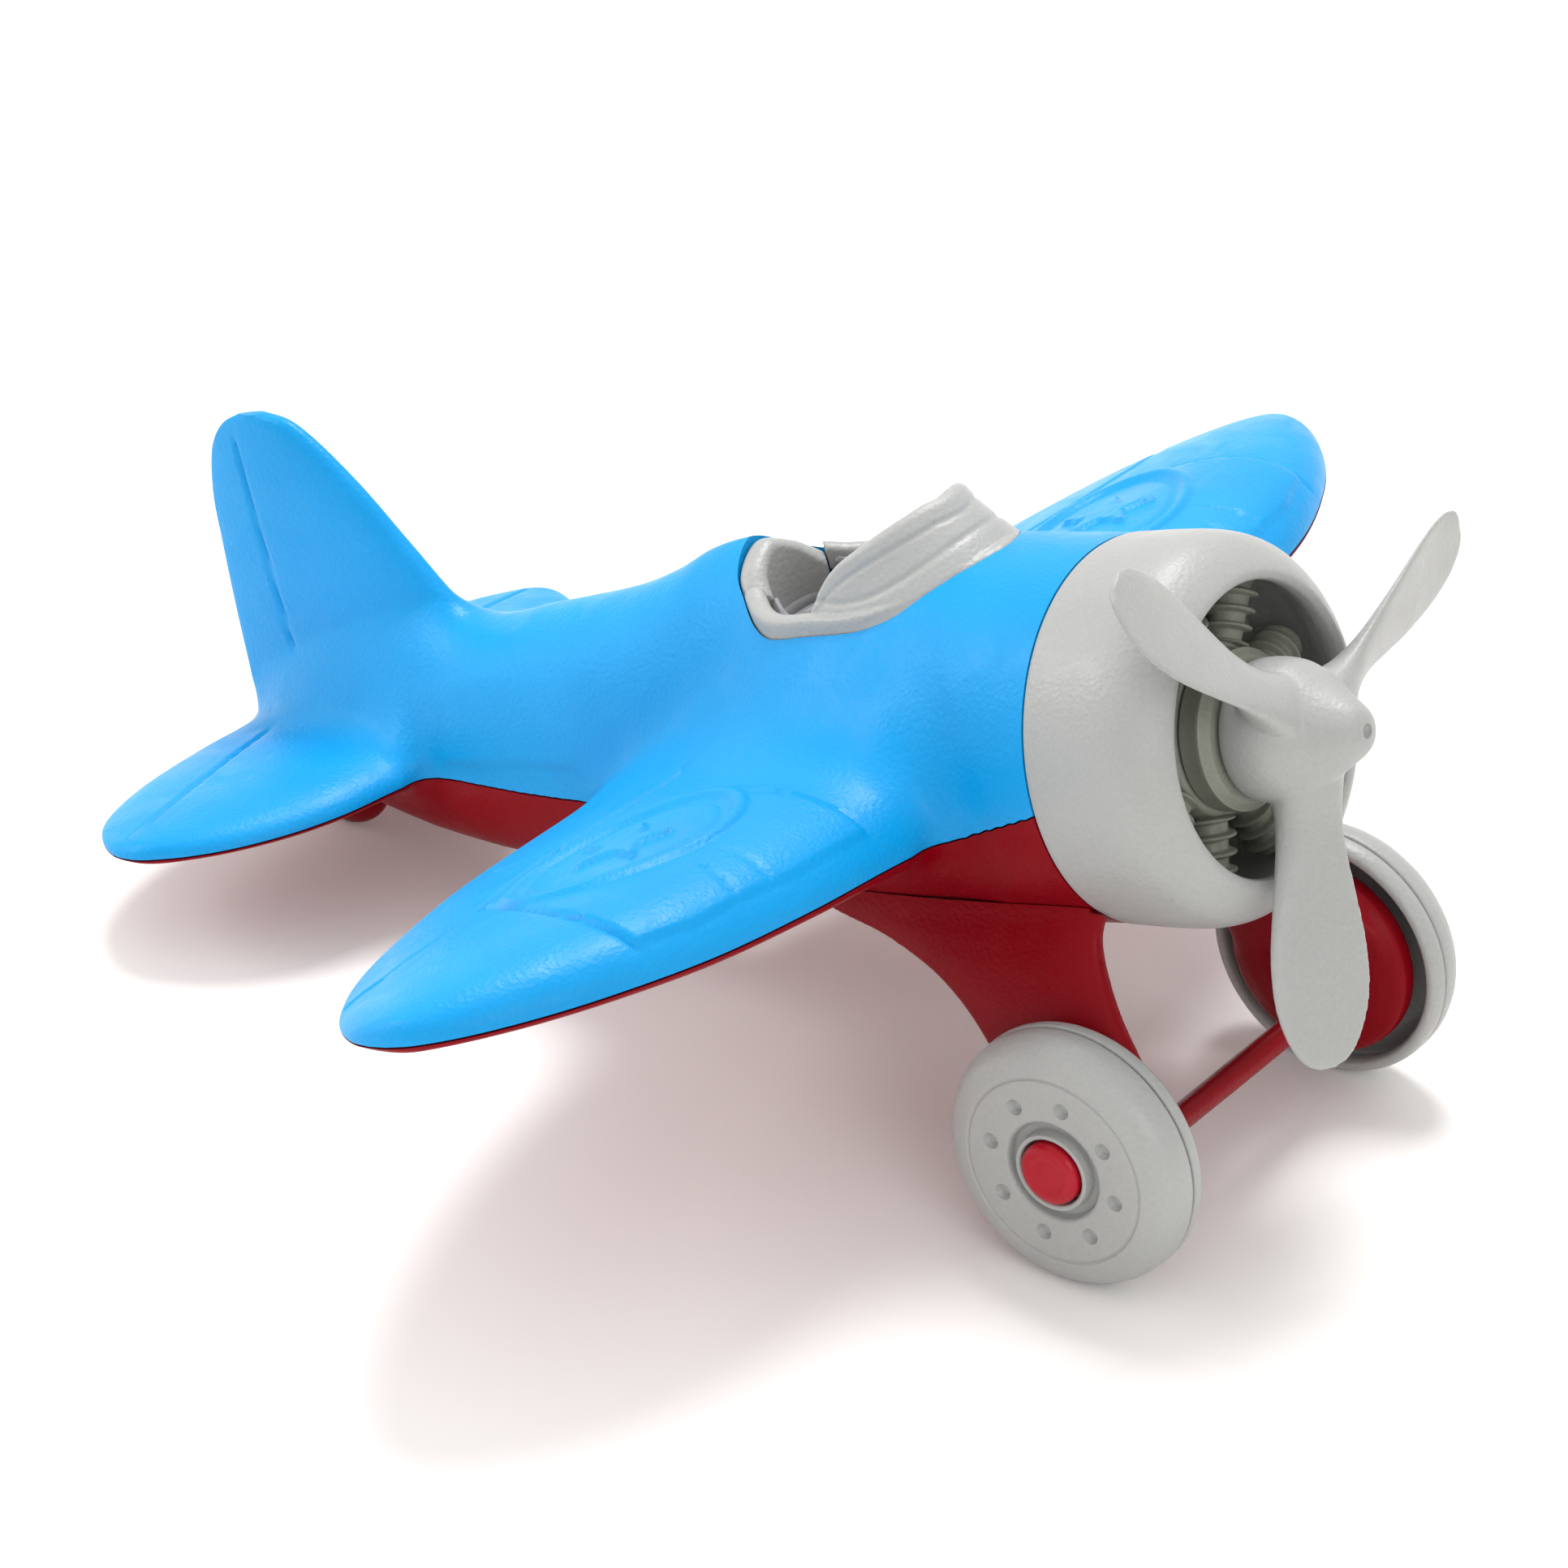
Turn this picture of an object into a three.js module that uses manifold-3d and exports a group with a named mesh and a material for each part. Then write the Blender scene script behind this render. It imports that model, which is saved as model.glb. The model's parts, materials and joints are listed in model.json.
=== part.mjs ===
// Toy aeroplane: a low-wing monoplane with a round cowling, a radial engine, a three-blade
// propeller that spins and two wheels that roll. Millimetres, +X forward, +Y to the plane's left, +Z up.
// The origin is on the ground under the middle of the bounding box.
//
// Every piece is drawn level, in the thrust frame: x = 0 in the plane of the propeller, z = 0 on the
// thrust line. The whole aeroplane is then tipped nose up until the wheels and the skid touch the ground.

import * as THREE from "three";
import { mergeVertices } from "three/addons/utils/BufferGeometryUtils.js";
import Module from "manifold-3d";

const wasm = await Module();
wasm.setup();

// ---------------------------------------------------------------- driving dimensions

const GAP = 0.3; // between pieces that touch
const WALL = 2.2; // moulded shell thickness

const PROPELLER_RADIUS = 51.2;
const PROPELLER_REST = THREE.MathUtils.degToRad(14); // first blade, from the left wing upwards
const BLADES = 3;
const SHAFT_RADIUS = 2.4;

const COWL_RADIUS = 29.6;
const COWL_REAR = -29.5;
const CYLINDERS = 9;

const WHEEL_RADIUS = 21;
const AXLE = { x: -32.5, z: -53.8 };
const AXLE_RADIUS = 2.9;
const WHEEL_FACE = 42.9; // outer face of a wheel, from the centre line
const WHEEL_SEAM = 36; // where the rim ring meets the wheel face moulding
const WHEEL_INNER = 32.9;
const BAR_RADIUS = 2.2;
const BAR = { x: AXLE.x + 4.1, z: AXLE.z - 4.2 };
const SKID = { x: -200.9, z: -19.3 }; // lowest point of the tail skid

const FUSELAGE_FRONT = COWL_REAR - GAP;

// Fuselage stations from nose to tail: x, top, widest level, bottom, half width, squareness of the belly
// and of the crown (2 is an ellipse, less is a narrower ridge).
const FUSELAGE = [
  [FUSELAGE_FRONT, COWL_RADIUS, 0, -COWL_RADIUS, COWL_RADIUS, 2, 2],
  [-45, 30, -1, -29.6, 29.3, 2, 2],
  [-62, 30.6, -2, -28.8, 28, 2.1, 2],
  [-78, 31.4, -3, -27.8, 26.2, 2.2, 2],
  [-86, 32.1, -3.5, -27.2, 24.8, 2.2, 1.8],
  [-96, 31.9, -4.2, -26.5, 23.2, 2.3, 1.5],
  [-105, 29.9, -4.5, -25.8, 21.6, 2.4, 1.55],
  [-113, 26.5, -4.5, -25.1, 20.3, 2.5, 1.75],
  [-124, 23.1, -4.5, -24, 18.6, 2.6, 2],
  [-140, 20.5, -4.2, -22.4, 16.8, 2.8, 2],
  [-156, 18.4, -3.9, -20.6, 15.2, 3, 2],
  [-172, 15.5, -3, -17.6, 13.2, 3, 2],
  [-188, 12, -1.6, -13.4, 10.6, 2.8, 2],
  [-202, 8, -0.4, -8.4, 7.2, 2.5, 2],
  [-212, 4.5, 0.6, -3.4, 4, 2.2, 2],
];

// Half of the wing, root to tip: y, leading edge, trailing edge, rise above and drop below the parting edge.
const WING = [
  [0, -44, -128, 14, 5],
  [20, -46, -127, 13.5, 4.5],
  [40, -48.5, -124.5, 12, 4],
  [60, -49.3, -121, 10.5, 3.2],
  [80, -52.2, -115, 9, 2.6],
  [96, -58.5, -108.6, 7.6, 2],
  [106, -64.5, -102.8, 6, 1.6],
  [114, -71.5, -96.3, 4, 1.2],
  [118.4, -77.8, -89.8, 2.2, 0.9],
  [119.6, -82, -85.4, 1, 0.7],
];

// Half of the tailplane, the same way.
const TAILPLANE = [
  [0, -162, -213, 5.4, 3],
  [10, -165, -214, 4.9, 2.4],
  [20, -168.3, -214.6, 4.3, 1.9],
  [30, -170.8, -214.4, 3.7, 1.5],
  [38.5, -174.8, -213, 3.1, 1.2],
  [46.2, -180.8, -210, 2.4, 0.9],
  [51.2, -187, -205.6, 1.7, 0.7],
  [54.2, -193, -200.8, 1.1, 0.6],
  [54.9, -195.6, -198.4, 0.8, 0.5],
];

// The fin, top to root: z, leading edge, trailing edge, half thickness.
const FIN = [
  [54.6, -194, -200, 1],
  [53, -189, -204.2, 1.6],
  [49.4, -184.6, -207.8, 2.2],
  [41, -177.3, -211, 2.8],
  [31, -170.3, -212.4, 3.4],
  [20.6, -163, -213.6, 4],
  [8, -152, -214.7, 4.4],
  [0, -148, -215.3, 4.5],
];

// The edge where the upper and lower mouldings meet: x, height at the centre line, climb per mm outwards.
const PARTING = [
  [-20, -1.5, 0],
  [-30, -1.5, 0],
  [-46, -8.1, 0.082],
  [-126, -8.1, 0.082],
  [-145, -6.6, 0.04],
  [-165, -4.5, 0],
  [-220, 1, 0],
];

// Half of the cockpit opening in plan, front to rear: x, y.
const COCKPIT = [
  [-46.3, 0],
  [-47.6, 4.5],
  [-50.2, 8.4],
  [-55, 13.2],
  [-64, 17.1],
  [-76.5, 17.8],
  [-83, 17],
  [-87.5, 14.6],
  [-92, 10.4],
  [-95.4, 6.5],
  [-96.8, 0],
];

// Propeller blade, root to tip: radius, chord, thickness, pitch in degrees.
const BLADE = [
  [5, 9, 7, 50],
  [12, 9.5, 6, 46],
  [18, 10.5, 4.4, 40],
  [26, 13.6, 3.4, 33],
  [34, 16.2, 2.8, 28],
  [41, 16.2, 2.4, 24],
  [46.5, 13.2, 2.1, 21],
  [49.8, 8.4, 1.7, 20],
  [PROPELLER_RADIUS, 3, 1.2, 19],
];

// ---------------------------------------------------------------- materials

function plastic(color, roughness) {
  return new THREE.MeshStandardMaterial({ color, roughness, metalness: 0 });
}

const FINISH = {
  blue: plastic(0x1f9bf0, 0.45),
  red: plastic(0xa00a22, 0.4),
  grey: plastic(0xb3b5b2, 0.5),
  darkGrey: plastic(0x6e706a, 0.55),
};

// ---------------------------------------------------------------- solids

// A closed three.js geometry as a manifold-3d solid.
function solid(geometry) {
  const bare = geometry.clone();
  bare.deleteAttribute("normal");
  bare.deleteAttribute("uv");
  const merged = mergeVertices(bare, 1e-4);
  const triVerts = new Uint32Array(merged.index.array);
  const vertProperties = merged.attributes.position.array;
  return new wasm.Manifold(new wasm.Mesh({ numProp: 3, vertProperties, triVerts }));
}

function geometryOf(shape) {
  const { numProp, vertProperties, triVerts } = shape.getMesh();
  const points = new Float32Array((vertProperties.length / numProp) * 3);
  for (let i = 0; i < points.length / 3; i++) {
    points.set(vertProperties.subarray(i * numProp, i * numProp + 3), i * 3);
  }
  const geometry = new THREE.BufferGeometry();
  geometry.setAttribute("position", new THREE.BufferAttribute(points, 3));
  geometry.setIndex(new THREE.BufferAttribute(triVerts, 1));
  geometry.computeVertexNormals();
  return geometry;
}

function join(shapes) {
  return shapes.reduce((whole, shape) => whole.add(shape));
}

function cut(shape, tools) {
  return tools.reduce((left, tool) => left.subtract(tool), shape);
}

// A body lofted through rings. place(t, angle, reach) gives a point of the ring at t from 0 to 1;
// reach is 0 at the middle of an end cap and 1 on the ring. The rings run along -(cos axis x sin axis).
function loft(sides, steps, place) {
  const tube = new THREE.CylinderGeometry(1, 1, 1, sides, steps);
  const points = tube.attributes.position;
  for (let i = 0; i < points.count; i++) {
    const x = points.getX(i);
    const z = points.getZ(i);
    const step = Math.round((0.5 - points.getY(i)) * steps);
    const p = place(step / steps, Math.atan2(x, z), Math.hypot(x, z));
    points.setXYZ(i, p.x, p.y, p.z);
  }
  return solid(tube);
}

// Values between stations, on smooth curves through them.
function stations(rows) {
  const curves = [];
  for (let first = 0; first < rows[0].length; first += 3) {
    const triples = rows.map((row) => new THREE.Vector3(...[0, 1, 2].map((k) => row[first + k] ?? 0)));
    curves.push(new THREE.CatmullRomCurve3(triples));
  }
  return (t) => curves.flatMap((curve) => curve.getPoint(t).toArray());
}

// Straight-line values of a table at a given first column, which may rise or fall.
function between(rows, at) {
  const falling = rows[0][0] > rows[rows.length - 1][0];
  const last = rows.findIndex((row) => (falling ? row[0] <= at : row[0] >= at));
  if (last === 0) return rows[0];
  if (last < 0) return rows[rows.length - 1];
  const a = rows[last - 1];
  const b = rows[last];
  const share = (at - a[0]) / (b[0] - a[0]);
  return a.map((value, k) => value + (b[k] - value) * share);
}

// A lathe about the x axis from a closed outline of [x, radius].
function turned(outline, sides) {
  const profile = outline.map(([x, radius]) => new THREE.Vector2(radius, x));
  const lathe = new THREE.LatheGeometry(profile, sides);
  lathe.rotateZ(-Math.PI / 2);
  const shape = solid(lathe);
  return shape.volume() < 0 ? flipped(lathe) : shape;
}

// The same closed geometry with its faces turned round.
function flipped(geometry) {
  const index = geometry.index.array;
  for (let i = 0; i < index.length; i += 3) {
    [index[i + 1], index[i + 2]] = [index[i + 2], index[i + 1]];
  }
  return solid(geometry);
}

// A round bar along x, y or z.
function bar(axis, radius, from, to, at, sides) {
  const geometry = new THREE.CylinderGeometry(radius, radius, to - from, sides);
  const middle = (from + to) / 2;
  if (axis === "x") geometry.rotateZ(-Math.PI / 2).translate(middle, at.y, at.z);
  if (axis === "y") geometry.translate(at.x, middle, at.z);
  if (axis === "z") geometry.rotateX(Math.PI / 2).translate(at.x, at.y, middle);
  return solid(geometry);
}

function box(low, high) {
  const size = high.map((value, k) => value - low[k]);
  const middle = high.map((value, k) => (value + low[k]) / 2);
  return solid(new THREE.BoxGeometry(...size).translate(...middle));
}

// ---------------------------------------------------------------- airframe surfaces

function signedPower(value, power) {
  return Math.sign(value) * Math.abs(value) ** power;
}

// The fuselage, with its skin moved in by inset.
function fuselage(inset, sides = 28, steps = 24) {
  const section = stations(FUSELAGE);
  return loft(sides, steps, (t, angle, reach) => {
    const [x, top, middle, bottom, half, belly, crown] = section(t);
    const across = Math.cos(angle);
    const up = Math.sin(angle);
    const power = 2 / (up < 0 ? belly : crown);
    const height = up < 0 ? middle - bottom - inset : top - inset - middle;
    const y = (half - inset) * signedPower(across, power) * reach;
    const z = middle + height * signedPower(up, power) * reach;
    return new THREE.Vector3(x, y, z);
  });
}

// Height of an aerofoil's skin above its chord, 0 to 1, at share u of the chord.
function camber(u) {
  const root = Math.sqrt(Math.max(u, 0));
  return 10 * (0.2969 * root - 0.126 * u - 0.3516 * u ** 2 + 0.2843 * u ** 3 - 0.1015 * u ** 4);
}

// A wing from tip to tip through the stations of one half; edge(x, y) is the level of its edge.
function wing(rows, edge, inset, steps, sides = 14) {
  const mirrored = [...rows].reverse().concat(rows.slice(1).map(([y, ...rest]) => [-y, ...rest]));
  const section = stations(mirrored);
  return loft(sides, steps, (t, angle, reach) => {
    const [y, front, back, rise, drop] = section(t);
    const middle = (front + back) / 2;
    const half = Math.max((front - back) / 2 - 1.6 * inset, 0.5);
    const x = middle + half * Math.sin(angle) * reach;
    const swell = camber((1 - Math.sin(angle)) / 2);
    const over = Math.cos(angle) >= 0;
    const depth = Math.max((over ? rise : drop) - inset, 0.1);
    const rim = Math.max((over ? 1.3 : 0.45) - inset, 0.05);
    const skin = (rim * Math.abs(Math.cos(angle)) ** 0.5 + depth * swell) * reach;
    const squeeze = 1 - (1.6 * inset) / rows[rows.length - 1][0];
    return new THREE.Vector3(x, y * squeeze, edge(x, y) + (over ? skin : -skin));
  });
}

function fin(inset) {
  const section = stations(FIN);
  return loft(12, 8, (t, angle, reach) => {
    const [z, front, back, half] = section(t);
    const chord = (front - back) / 2 - 1.6 * inset;
    const x = (front + back) / 2 + chord * Math.cos(angle) * reach;
    const swell = 0.25 * Math.abs(Math.sin(angle)) ** 0.5 + 0.75 * camber((1 - Math.cos(angle)) / 2);
    const y = Math.max(half - inset, 0.3) * swell * Math.sign(Math.sin(angle)) * reach;
    return new THREE.Vector3(x, y, z - 1.6 * inset * (1 - t));
  });
}

function partingLevel(x, y) {
  const [, level, climb] = between(PARTING, x);
  return level + climb * Math.abs(y);
}

// Everything above the parting edge, raised by lift.
function above(lift) {
  const low = { x: -230, y: -140 };
  const size = { x: 205, y: 280, z: 100 };
  const slab = new THREE.BoxGeometry(size.x, size.y, size.z, 41, 2, 1);
  slab.translate(low.x + size.x / 2, low.y + size.y / 2, 0);
  const points = slab.attributes.position;
  for (let i = 0; i < points.count; i++) {
    const edge = partingLevel(points.getX(i), points.getY(i));
    points.setZ(i, lift + (points.getZ(i) < 0 ? edge : size.z));
  }
  return solid(slab);
}

// The closed outer skin of the airframe, and the space inside it.
function airframeSkin() {
  return join([
    fuselage(0),
    wing(WING, partingLevel, 0, 26),
    wing(TAILPLANE, partingLevel, 0, 16),
    fin(0),
  ]);
}

function airframeSpace() {
  const mouth = bar("x", COWL_RADIUS - WALL, FUSELAGE_FRONT - 7, FUSELAGE_FRONT + 4, { y: 0, z: 0 }, 28);
  const tail = box([-230, -20, -40], [-204, 20, 40]);
  return join([
    fuselage(WALL, 16, 14).subtract(tail),
    wing(WING, partingLevel, 1.6, 14, 10),
    fin(1.7).subtract(box([-230, -20, 45], [-150, 20, 60])),
    mouth,
  ]);
}

// ---------------------------------------------------------------- cockpit

const HEADREST_FRONT = -87.6;

// The cockpit's plan as an upright prism, moved in by inset, between two levels.
function cockpitPrism(inset, low, high) {
  const centre = -71;
  const reach = 26.6;
  const wide = 17.8;
  const right = COCKPIT.slice(1, -1).reverse().map(([x, y]) => [x, -y]);
  const loop = [...COCKPIT, ...right].map(([x, y]) => {
    const along = centre + (x - centre) * (1 - inset / reach);
    return new THREE.Vector2(along, y * (1 - inset / wide));
  });
  const smooth = new THREE.CatmullRomCurve3(
    loop.map((p) => new THREE.Vector3(p.x, p.y, 0)),
    true,
  );
  const outline = new THREE.Shape(smooth.getPoints(28).slice(0, -1).map((p) => new THREE.Vector2(p.x, p.y)));
  const prism = new THREE.ExtrudeGeometry(outline, { depth: high - low, bevelEnabled: false, steps: 1 });
  prism.translate(0, 0, low);
  return solid(prism);
}

// ---------------------------------------------------------------- pieces

// Snap pegs that hold the two halves together: places in x, y.
const PEGS = [
  [-112, 0],
  [-176, 0],
  [-84, 62],
  [-84, -62],
];

function upperShell(skin, space) {
  const shell = skin.intersect(above(GAP / 2)).subtract(space).subtract(cockpitPrism(0, 8, 60));
  const sockets = PEGS.map(([x, y]) => {
    const level = partingLevel(x, y);
    return bar("z", 4, level + 1.5, y === 0 ? 40 : level + 12, { x, y }, 10);
  });
  const bores = PEGS.map(([x, y]) => {
    const level = partingLevel(x, y);
    return bar("z", 2.1, level - 2, level + 7, { x, y }, 10);
  });
  const roofed = join([shell, ...sockets.map((socket) => socket.intersect(skin))]);
  return cut(roofed, bores);
}

function legSlot(side, grow) {
  const y = side * 20;
  return box([-66 - grow, y - 1.5 - grow, -27], [-40 + grow, y + 1.5 + grow, -14 + grow]);
}

function lowerShell(skin, space) {
  const tray = skin.subtract(above(-GAP / 2)).subtract(space);
  const pegs = PEGS.map(([x, y]) => {
    const level = partingLevel(x, y);
    const floor = y === 0 ? between(FUSELAGE, x)[3] + 1 : level - 3.2;
    return bar("z", 1.8, floor, level + 5.5, { x, y }, 10);
  });
  const slots = [-1, 1].map((side) => legSlot(side, GAP));
  const skidSocket = bar("z", 2 + GAP, -30, 2, { x: SKID.x + 6, y: 0 }, 14);
  return cut(join([tray, ...pegs]), [...slots, skidSocket]);
}

function cowling() {
  const outline = [
    [COWL_REAR, COWL_RADIUS - 0.2],
    [-22, 30],
    [-15.5, 29.9],
    [-12, 29.1],
    [-9.4, 27.4],
    [-7.4, 25.2],
    [-6.6, 23.6],
    [-6.9, 22.6],
    [-8.6, 22.4],
    [-11.5, 24],
    [-15.5, 26.4],
    [-26.9, 27],
    [-26.9, 20],
    [-29.2, 20],
    [-29.2, 24.8],
    [-35, 24.8],
    [-35, 26.8],
    [COWL_REAR, 26.8],
    [COWL_REAR, COWL_RADIUS - 0.2],
  ];
  return turned(outline, 32);
}

// One finned cylinder of the engine, standing along +z from its foot.
function engineCylinder() {
  const foot = 12;
  const pitch = 3.4;
  const outline = [[0, foot], [2.9, foot]];
  for (let fin = 0; fin < 3; fin++) {
    const z = foot + 1.4 + fin * pitch;
    outline.push([2.9, z], [3.9, z + 0.6], [2.9, z + 1.2]);
  }
  outline.push([2.9, foot + 12], [2, foot + 12.6], [0, foot + 12.6]);
  const lathe = new THREE.LatheGeometry(outline.map(([r, z]) => new THREE.Vector2(r, z)), 8);
  return lathe.rotateX(Math.PI / 2);
}

function engineBlock() {
  const plate = turned([[-26.6, 0], [-26.6, 26.4], [-24.6, 26.4], [-24.6, 0]], 32);
  const cylinders = [];
  for (let k = 0; k < CYLINDERS; k++) {
    const turn = (k * 2 * Math.PI) / CYLINDERS;
    const upright = engineCylinder().translate(-17.5, 0, 0).rotateX(turn);
    cylinders.push(solid(upright));
  }
  const drum = turned([[-25, 0], [-25, 14.4], [-14.2, 13], [-14.2, 0]], 32);
  const bore = bar("x", SHAFT_RADIUS + GAP, -40, 0, { y: 0, z: 0 }, 16);
  return join([plate, drum, ...cylinders]).subtract(bore);
}

function crankcase() {
  const outline = [
    [-13.9, SHAFT_RADIUS + GAP],
    [-13.9, 12.4],
    [-9.4, 11.6],
    [-8.8, 11.3],
    [-8.8, SHAFT_RADIUS + GAP],
    [-13.9, SHAFT_RADIUS + GAP],
  ];
  return turned(outline, 32);
}

function hub() {
  const outline = [
    [-8.5, 0],
    [-8.5, 9.6],
    [-7.8, 10.3],
    [-4, 10.8],
    [0, 10.2],
    [3, 8.5],
    [5.5, 6.7],
    [8, 5.3],
    [10, 3.9],
    [11.2, 2.3],
    [11.6, 0],
  ];
  return turned(outline, 24);
}

function blade(turn) {
  const section = stations(BLADE.map((row) => [...row, 0, 0]));
  const outwards = loft(10, 12, (t, angle, reach) => {
    const [radius, chord, thickness, pitch] = section(1 - t);
    const lean = THREE.MathUtils.degToRad(pitch);
    const along = (chord / 2) * Math.cos(angle) * reach;
    const through = (thickness / 2) * Math.sin(angle) * reach;
    const x = along * Math.sin(lean) + through * Math.cos(lean);
    const y = -along * Math.cos(lean) + through * Math.sin(lean);
    return new THREE.Vector3(x, y, radius);
  });
  return outwards.rotate([THREE.MathUtils.radToDeg(turn - Math.PI / 2), 0, 0]);
}

function propeller() {
  const blades = [];
  for (let k = 0; k < BLADES; k++) {
    blades.push(blade(PROPELLER_REST + (k * 2 * Math.PI) / BLADES));
  }
  const socket = bar("x", SHAFT_RADIUS + GAP, -10, 3 + GAP, { y: 0, z: 0 }, 16);
  const dimple = bar("x", 0.8, 11, 13, { y: 0, z: 0 }, 10);
  return cut(join([hub(), ...blades]), [socket, dimple]);
}

function propellerShaft() {
  const groove = turned([[-28.9, 1.7], [-28.9, 4], [-27.3, 4], [-27.3, 1.7], [-28.9, 1.7]], 20);
  return bar("x", SHAFT_RADIUS, -31, 3, { y: 0, z: 0 }, 16).subtract(groove);
}

function shaftClip() {
  const ring = turned([[-28.6, 2], [-28.6, 5], [-27.6, 5], [-27.6, 2], [-28.6, 2]], 20);
  return ring.subtract(box([-30, -1.4, 0], [-26, 1.4, 8]));
}

function cockpitFrame() {
  const band = cockpitPrism(GAP, 6, 60).subtract(cockpitPrism(3.4, 0, 70));
  const rim = fuselage(-0.7).intersect(band).subtract(fuselage(5));
  const archCut = box([-99, -20, 0], [HEADREST_FRONT, 20, 60]);
  return rim.subtract(archCut).add(windscreen());
}

// A slanted round bubble, narrower towards the top, that the windscreen is a slice of.
function bubble(inset) {
  const rings = [
    [45, -72.2, 12, 8.5],
    [33.5, -69.6, 17.5, 13.2],
    [22, -68.6, 22.3, 16.6],
    [16, -68.6, 22.3, 16.8],
  ];
  const section = stations(rings.map((row) => [...row, 0, 0]));
  return loft(28, 6, (t, angle, reach) => {
    const [z, middle, along, wide] = section(t);
    const x = middle + (along - inset) * Math.cos(angle) * reach;
    const y = (wide - inset) * Math.sin(angle) * reach;
    return new THREE.Vector3(x, y, z);
  });
}

function windscreen() {
  const side = new THREE.Shape();
  side.moveTo(-75, 14);
  side.lineTo(-75, 22);
  side.quadraticCurveTo(-74.5, 30, -67, 33.6);
  side.quadraticCurveTo(-61, 36.8, -56.5, 38.4);
  side.lineTo(-40, 38.4);
  side.lineTo(-40, 14);
  const slab = new THREE.ExtrudeGeometry(side, { depth: 60, bevelEnabled: false, curveSegments: 6 });
  slab.rotateX(Math.PI / 2).translate(0, 30, 0);
  const pane = bubble(0).subtract(bubble(2)).intersect(solid(slab));
  return pane.subtract(fuselage(3));
}

function headrest() {
  const band = cockpitPrism(GAP, 8, 60).subtract(cockpitPrism(4.6, 0, 70));
  const arch = fuselage(-0.4).intersect(band).subtract(fuselage(14));
  return arch.intersect(box([-99, -20, 20.8], [HEADREST_FRONT - GAP, 20, 60]));
}

// The cockpit lining: walls up to the rim, a floor, a seat and an instrument panel.
function seatTub() {
  const outer = cockpitPrism(3.8, 4, 60).intersect(fuselage(WALL + 1.4));
  const inner = cockpitPrism(5.4, 5.6, 70);
  const seat = box([-86, -9, 5], [-79, 9, 13]);
  const panel = box([-62, -13.5, 5], [-60, 13.5, 17]);
  const underArch = box([-99, -20, 20.5], [HEADREST_FRONT + 0.5, 20, 60]);
  const tub = join([outer.subtract(inner), seat.intersect(outer), panel.intersect(outer)]);
  return tub.subtract(underArch);
}

// One undercarriage leg: a swept strut that ends in a round dish on the axle.
function leg(side) {
  // Strut from top to bottom: z, front edge, rear edge, distance outwards, half thickness.
  const rows = [
    [-14, -26, -90, 18.5, 2.4],
    [-20, -27.5, -84, 20.5, 2.8],
    [-25, -29, -70, 22.6, 3],
    [-30, -28, -60, 24.8, 3.1],
    [-36, -25.6, -53, 27.2, 3.1],
    [-43, -21.6, -48.3, 29.6, 3],
    [-50, -17.9, -47.2, 31.2, 2.8],
    [-54, -17.4, -47.6, 31.8, 2.6],
  ];
  const section = stations(rows.map((row) => [...row, 0]));
  const strut = loft(14, 12, (t, angle, reach) => {
    const [z, front, back, out, thick] = section(t);
    const x = (front + back) / 2 + ((front - back) / 2) * signedPower(Math.cos(angle), 0.8) * reach;
    const y = side * out + thick * signedPower(Math.sin(angle), 0.6) * reach;
    return new THREE.Vector3(x, y, z);
  });
  const dish = turned([[28.8, 0], [28.8, 9], [30.6, 15.4], [31.6, 16.2], [35, 16.2], [35, 0]], 28);
  const placed = dish.rotate([0, 0, side * 90]).translate([AXLE.x, 0, AXLE.z]);
  const ends = side > 0 ? [20, 38] : [-38, -20];
  const bore = bar("y", AXLE_RADIUS + GAP, ends[0], ends[1], AXLE, 16);
  const hull = fuselage(-GAP).add(bar("x", COWL_RADIUS + 0.8, FUSELAGE_FRONT - GAP, 0, { y: 0, z: 0 }, 28));
  const tab = legSlot(side, 0);
  const body = strut.add(placed).subtract(hull).add(tab);
  const barEnd = bar("y", BAR_RADIUS + GAP, -27.5, 27.5, BAR, 16);
  return cut(body, [bore, barEnd]);
}

function wheelOutline() {
  return [
    [40.2, 3.2],
    [40.2, 5.5],
    [43.3, 5.5],
    [43.5, 6.3],
    [41, 6.5],
    [41, 7.9],
    [WHEEL_FACE, 8.2],
    [WHEEL_FACE, 15.1],
    [WHEEL_FACE - 0.5, 15.4],
    [WHEEL_FACE, 15.7],
    [WHEEL_FACE - 0.4, 17.2],
    [41.7, 19],
    [40.3, 20.2],
    [38.4, WHEEL_RADIUS - 0.1],
    [WHEEL_SEAM + 0.15, WHEEL_RADIUS],
    [WHEEL_SEAM + 0.15, 18.8],
    [39, 18.4],
    [40.2, 17],
    [40.2, 7],
    [36.6, 6.6],
    [36.6, 3.2],
    [40.2, 3.2],
  ];
}

// Turns a lathe drawn along x out to one side and puts it on the axle.
function onAxle(shape, side) {
  return shape.rotate([0, 0, side * 90]).translate([AXLE.x, 0, AXLE.z]);
}

function wheelFace(side) {
  const dimples = [];
  for (let k = 0; k < 8; k++) {
    const turn = ((k + 0.46) * Math.PI) / 4;
    const at = { y: 11.3 * Math.cos(turn), z: 11.3 * Math.sin(turn) };
    dimples.push(bar("x", 1.2, WHEEL_FACE - 0.8, WHEEL_FACE + 1, at, 6));
  }
  return onAxle(cut(turned(wheelOutline(), 32), dimples), side);
}

function wheelRim(side) {
  const outline = [
    [WHEEL_SEAM - 0.15, WHEEL_RADIUS],
    [34.2, 20.9],
    [WHEEL_INNER, 20],
    [WHEEL_INNER, 19.1],
    [33.8, 18.6],
    [WHEEL_SEAM - 0.15, 18.6],
    [WHEEL_SEAM - 0.15, WHEEL_RADIUS],
  ];
  return onAxle(turned(outline, 32), side);
}

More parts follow.
